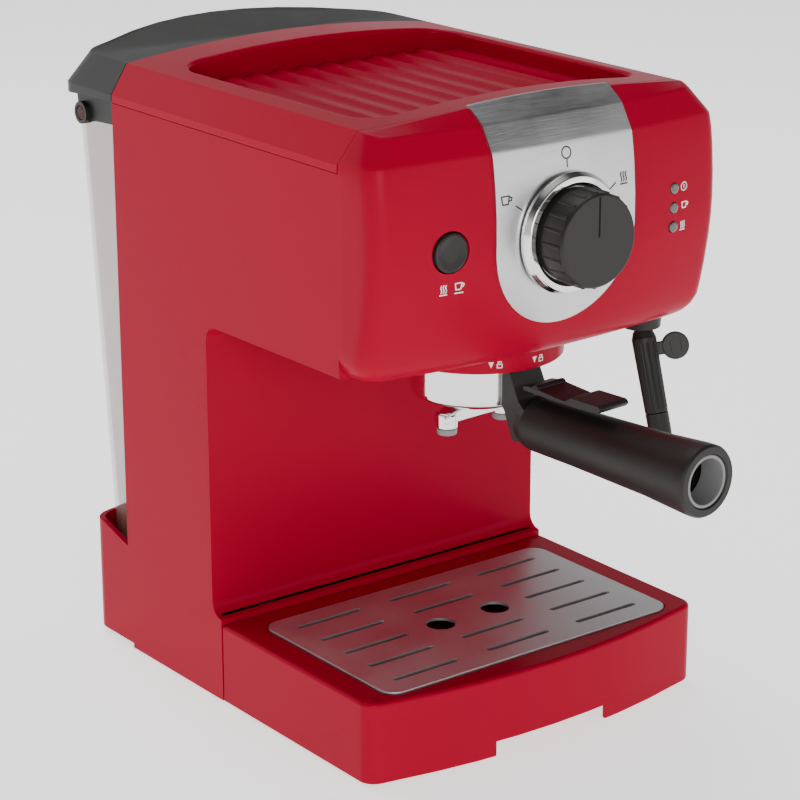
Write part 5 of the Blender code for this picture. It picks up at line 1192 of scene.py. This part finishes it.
class ESPRESSO_OT_grip(bpy.types.Operator):
    """The grip with its neck, end liner and filter clip"""
    bl_idname = "espresso.grip"
    bl_label = "Grip"

    def execute(self, context):
        group = context.scene.espresso_group
        end = group.grip_end / MM
        root = 13.5
        rim = 0.95 * end
        profile = [(0, -HANDLE_ROOT - 3.8), (root * 0.80, -HANDLE_ROOT - 3.8), (root, -HANDLE_ROOT - 12),
                   (root * 1.03, -HANDLE_ROOT - 40), (root * 1.15, -HANDLE_ROOT - 90), (end, -HANDLE_END + 6),
                   (end, -HANDLE_END + 1.4), (rim, -HANDLE_END), (RECESS_RADIUS + 0.5, -HANDLE_END),
                   (RECESS_RADIUS, -HANDLE_END + 0.8), (RECESS_RADIUS, -HANDLE_END + 34),
                   (0, -HANDLE_END + 34)]
        body = lathe(profile, (0, 5, 8, 20, 20, 4, 0.8, 0.6, 0.3, 0.3, 2, 0), rounding=6)
        body = moved(body, shift(0, 0, HANDLE_AXIS_Z) @ turn(-90, "X"))
        top = 187.2
        half = 10.3
        side = [(-HOLDER_RADIUS + 2, HOLDER_BOTTOM + 1), (-HOLDER_RADIUS + 2, top), (-HANDLE_ROOT - 1, top),
                (-HANDLE_ROOT - 8, HANDLE_AXIS_Z + root - 1), (-HANDLE_ROOT - 16, HANDLE_AXIS_Z + 6),
                (-HANDLE_ROOT - 16, HANDLE_AXIS_Z - 6), (-HANDLE_ROOT - 4, HANDLE_AXIS_Z - 9),
                (-HANDLE_ROOT + 2, HOLDER_BOTTOM - 1)]
        rounded = filleted(side, (0.5, 1, 4, 3, 1, 1, 3, 1))
        neck = loft([[(x, y, z) for y, z in rounded] for x in (-half, half)])
        neck = softened(neck, 1.8, 4, angle=50.0)
        neck = cut(neck, moved(rod(HOLDER_RADIUS + 0.15, 60, 2 * ROUND), shift(0, 0, HOLDER_BOTTOM - 20)))
        grip = join(body, neck)
        slot = moved(rod(2.9, 30), shift(-15, -CLIP_PIVOT, CLIP_PIVOT_Z) @ turn(90, "Y"))
        seat = box((-11, -CLIP_PIVOT - 6, CLIP_PIVOT_Z - 3.2), (11, -CLIP_PIVOT + 12, CLIP_PIVOT_Z + 12))
        grip = cut(grip, slot, seat)
        place_piece("grip_skin", moved(grip, on_group()), black_moulding(), "portafilter",
                    ("portafilter_handle",), 34.0)

        section = [(RECESS_RADIUS - 1.8, 0), (RECESS_RADIUS - 0.2, 0), (RECESS_RADIUS - 0.2, 14),
                   (RECESS_RADIUS - 1.8, 14)]
        liner = lathe(section, 0.5, closed=True)
        at_end = on_group() @ shift(0, -HANDLE_END + 0.6, HANDLE_AXIS_Z) @ turn(-90, "X")
        place_piece("grip_end_liner", moved(liner, at_end), grey_soft(), "portafilter",
                    ("handle_end_liner",))

        out = -CLIP_PIVOT
        up = CLIP_PIVOT_Z
        line = [(out + 8, up - 1.8), (out + 8, up + 0.4), (out + 2, up + 1.2), (out - 20, up - 0.4),
                (out - 24, up + 2.2), (out - 42, up + 2.4), (out - 44, up + 0.8), (out - 42, up - 1.4),
                (out - 24, up - 2.2), (out - 7, up - 2.0)]
        shape = filleted(line, (0.4, 0.6, 3, 3, 3, 0.8, 1.2, 1.5, 6, 4))
        clip = loft([[(x, y, z) for y, z in shape] for x in (-9.6, 9.6)])
        clip = softened(clip, 0.7, 3, angle=50.0)
        pin = moved(rod(2.4, 18.8, SMALL_ROUND, edge=0.3), shift(-9.4, out, up) @ turn(90, "Y"))
        place_piece("filter_clip_skin", moved(join(clip, pin), on_group()), black_moulding(),
                    "filter_clip_body", ("filter_clip",), 34.0)
        return {"FINISHED"}


class ESPRESSO_OT_wand(bpy.types.Operator):
    """Ball socket, ball, grooved wand with its thumb disc and frother sleeve"""
    bl_idname = "espresso.wand"
    bl_label = "Steam wand"

    def execute(self, context):
        settings = context.scene.espresso_wand
        ball_radius = 7.6
        x, y, z = WAND_BALL
        lean = shift(x, y, z) @ Matrix.Rotation(math.pi - settings.lean, 4, "X")
        socket = [(ball_radius - 0.9, z - 4.8), (ball_radius + 2.6, z - 3.6), (ball_radius + 3.0, z + 2),
                  (ball_radius + 3.0, 212.0), (5.0, 212.0), (5.0, z + 8.6), (ball_radius + 0.5, z + 5.4),
                  (ball_radius + 0.5, z - 2.4)]
        shape = lathe(socket, (0.5, 1.0, 1.0, 0.3, 0.3, 1, 1, 1), closed=True)
        place_piece("socket_skin", moved(shape, shift(x, y, 0)), black_moulding(), "wand_swivel",
                    ("steam_socket",))
        outline = [(0, -ball_radius)] + arc(ball_radius, -84, 168, 28) + [(0, ball_radius)]
        ball = cut(turned(outline, 64), rod(3.4, 20))
        place_piece("ball_skin", moved(ball, lean), chrome_plating(), "wand", ("wand_ball",))

        stem = 3.0
        sleeve = 6.2
        section = [(0, 1.0), (stem, 1.0), (stem, 5.0), (sleeve - 1.2, 6.6), (sleeve, 10.0),
                   (sleeve - 0.4, 47.8), (stem, 47.8), (stem, 80.0), (0, 80.0)]
        body = lathe(section, (0, 0.2, 0.3, 0.4, 0.6, 0.4, 0.2, 0.6, 0))
        groove = moved(rod(0.8, 34.0, 8), shift(0, 0, 12.0))
        cutters = ringed(ring_tree("wand_grooves", black_moulding()), groove, settings.grooves, sleeve + 0.1)
        body = cut(body, cutters)
        seat = turn(TAB_TURN, "Z") @ shift(TAB_OUT, 0.7, 16.5) @ turn(90, "X")
        disc = moved(rod(7.0, 3.4, 56, edge=0.9), seat)
        for side in (-2.6, 2.6):
            disc = cut(disc, moved(box((side - 0.4, -2.6, -1.0), (side + 0.4, 2.6, 0.7)), seat))
        arm = moved(softened(box((2.0, -2.5, 13.1), (12.0, 0.5, 19.9)), 0.8, 3), turn(TAB_TURN, "Z"))
        wand = join(body, arm, disc)
        place_piece("wand_skin", moved(wand, lean), black_moulding(), "wand",
                    ("steam_wand",), 34.0)

        bore = stem + 0.25
        section = [(bore, 48.0), (sleeve - 0.4, 48.0), (sleeve - 0.5, 83.0), (sleeve - 1.8, 86.0),
                   (bore, 86.0)]
        tip = lathe(section, (0.2, 0.5, 1.5, 1.0, 0.3), closed=True)
        place_piece("frother_skin", moved(tip, lean), black_moulding(), "frother",
                    ("frother_nozzle",))
        return {"FINISHED"}


class ESPRESSO_OT_tray(bpy.types.Operator):
    """The drip tray and its slotted grille"""
    bl_idname = "espresso.tray"
    bl_label = "Drip tray"

    def execute(self, context):
        tray = context.scene.espresso_tray
        mesh = softened(cad_mesh("drip_tray"), 0.9, 3, angle=35.0)
        place_piece("drip_tray_skin", mesh, red_moulding(), "tray", ("drip_tray",), 40.0)

        middle = cad_centre("drip_grille")
        half = cad_half("drip_grille")
        outline = rounded_rectangle(half.x, -half.y, half.y, 9.0)
        plate = softened(prism(outline, -2 * half.z, 0.0), 0.35, 2, angle=50.0)
        for x in (-17.6, 17.6):
            plate = cut(plate, moved(rod(7.5, 10, 64), shift(x, 0, -5)))
        slot = tray.slot_length / MM
        wide = tray.slot_width / MM
        end = wide / 2
        ring = []
        for centre, start in ((slot / 2 - end, -90), (-slot / 2 + end, 90)):
            ring += arc(end, start, 180, 6, (centre, 0.0))
        cutter = linked("slot", prism(ring, -6, 6))
        pitch_x = tray.column_pitch / MM
        pitch_y = tray.row_pitch / MM
        grille = grown(slotted_tree(grille_sheet()), plate, rows=tray.rows,
                       span_x=2 * pitch_x, span_y=(tray.rows - 1) * pitch_y, slot=cutter)
        bpy.data.objects.remove(cutter)
        on_tray = shift(0, middle.y - DATUM_Y, middle.z + half.z)
        place_piece("grille_skin", moved(grille, on_tray), grille_sheet(), "grille",
                    ("drip_grille",), 30.0)
        return {"FINISHED"}


class ESPRESSO_OT_tank(bpy.types.Operator):
    """The lift-off tank and its hinged lid"""
    bl_idname = "espresso.tank"
    bl_label = "Water tank"

    def execute(self, context):
        tank = context.scene.espresso_tank
        clear = finish("smoky_clear_plastic", tuple(tank.tint), 0.10, alpha=tank.opacity, specular=0.25,
                       grain=0.002, bump=0.02, tone=0.03)
        mesh = softened(cad_mesh("water_tank"), 0.7, 3, angle=35.0)
        place_piece("tank_skin", mesh, clear, "tank", ("water_tank",), 40.0)
        # The lid's strong edge setting paints its rim lighter: a painted highlight.
        lid_finish = finish("lid_moulding", tuple(tank.lid), 0.44, grain=0.0007, bump=0.14, spread=0.06,
                            tone=0.07, edge_highlight=0.5, specular=0.3)
        lid = softened(cad_mesh("tank_lid"), 0.8, 3, angle=30.0)
        place_piece("tank_lid_skin", lid, lid_finish, "lid", ("tank_lid",), 40.0)
        return {"FINISHED"}


class ESPRESSO_OT_base(bpy.types.Operator):
    """Rear panel, base, feet, screws and lead gland"""
    bl_idname = "espresso.base"
    bl_label = "Base"

    def execute(self, context):
        eased = (("rear_panel_skin", "rear_panel", red_moulding(), "red_gloss", 0.8, 40.0),
                 ("base_plate_skin", "base_plate", black_moulding(), "black_plastic", 0.6, 40.0),
                 ("gland_skin", "cord_gland", black_moulding(), "black_plastic", 0.4, 50.0))
        for name, node, surface, slot, width, angle in eased:
            mesh = softened(cad_mesh(node), width, 2, angle=angle)
            place_piece(name, mesh, surface, "machine", (node,), 40.0)

        for corner in ("front_left", "front_right", "rear_left", "rear_right"):
            refinished(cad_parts["base_screw_" + corner].data, plain_steel())
            node = "foot_" + corner
            middle = cad_centre(node)
            radius = cad_half(node).x
            top = cad_levels(node)[1]
            section = [(0, 0.5), (radius - 2.6, 0.5), (radius - 2.2, 0.0), (radius - 0.6, 0.0), (radius, 0.8),
                       (radius - 0.4, top), (0, top)]
            foot = lathe(section, (0, 0.2, 0.2, 0.5, 0.5, 0.4, 0), 64)
            foot = moved(foot, shift(middle.x, middle.y - DATUM_Y, 0))
            place_piece("foot_skin_" + corner, foot, black_rubber(), "machine", (node,))
        return {"FINISHED"}


class ESPRESSO_OT_works(bpy.types.Operator):
    """Finishes of the pieces that stay inside"""
    bl_idname = "espresso.works"
    bl_label = "Inner works"

    def execute(self, context):
        hose = finish("milky_hose", (0.62, 0.60, 0.55), 0.45, grain=0.001, bump=0.05)
        board = finish("green_board", (0.02, 0.14, 0.06), 0.5, grain=0.0007, bump=0.3, tone=0.2)
        nodes = {
            cast_metal(): ("brew_head", "boiler", "boiler_cap"),
            plain_steel(): ("shower_screen", "shower_screw", "steam_pipe", "thermal_fuse",
                            "tank_valve_spring"),
            black_rubber(): ("group_gasket", "tank_valve", "pump_mount_lower", "pump_mount_upper"),
            black_moulding(): ("tank_shelf", "water_pump"),
            hose: ("suction_hose", "pressure_hose"),
            board: ("selector_switch", "brew_switch", "lamp_board", "brew_thermostat", "steam_thermostat",
                    "control_board"),
        }
        for surface, names in nodes.items():
            for name in names:
                refinished(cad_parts[name].data, surface)
        return {"FINISHED"}


class ESPRESSO_PT_panel(bpy.types.Panel):
    """The makers of the espresso machine"""
    bl_idname = "ESPRESSO_PT_panel"
    bl_label = "Espresso machine"
    bl_space_type = "VIEW_3D"
    bl_region_type = "UI"
    bl_category = "Espresso"

    def draw(self, context):
        for maker in MAKERS:
            self.layout.operator(maker.bl_idname)


SETTINGS = (("espresso_body", BodySettings), ("espresso_controls", ControlSettings),
            ("espresso_group", GroupSettings), ("espresso_tray", TraySettings),
            ("espresso_tank", TankSettings), ("espresso_wand", WandSettings),
            ("espresso_stage", StageSettings))
MAKERS = (ESPRESSO_OT_stage, ESPRESSO_OT_housing, ESPRESSO_OT_front_panel, ESPRESSO_OT_cover,
          ESPRESSO_OT_control_plate, ESPRESSO_OT_knob, ESPRESSO_OT_button, ESPRESSO_OT_signs,
          ESPRESSO_OT_group, ESPRESSO_OT_holder, ESPRESSO_OT_grip, ESPRESSO_OT_wand, ESPRESSO_OT_tray,
          ESPRESSO_OT_tank, ESPRESSO_OT_base, ESPRESSO_OT_works)


def register():
    for name, settings in SETTINGS:
        bpy.utils.register_class(settings)
        setattr(bpy.types.Scene, name, bpy.props.PointerProperty(type=settings))
    for maker in MAKERS:
        bpy.utils.register_class(maker)
    bpy.utils.register_class(ESPRESSO_PT_panel)


def unregister():
    bpy.utils.unregister_class(ESPRESSO_PT_panel)
    for maker in reversed(MAKERS):
        bpy.utils.unregister_class(maker)
    for name, settings in reversed(SETTINGS):
        delattr(bpy.types.Scene, name)
        bpy.utils.unregister_class(settings)


def main():
    """Register the add-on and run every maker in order."""
    register()
    for maker in MAKERS:
        group, name = maker.bl_idname.split(".")
        getattr(getattr(bpy.ops, group), name)()


if __name__ == "__main__":
    main()
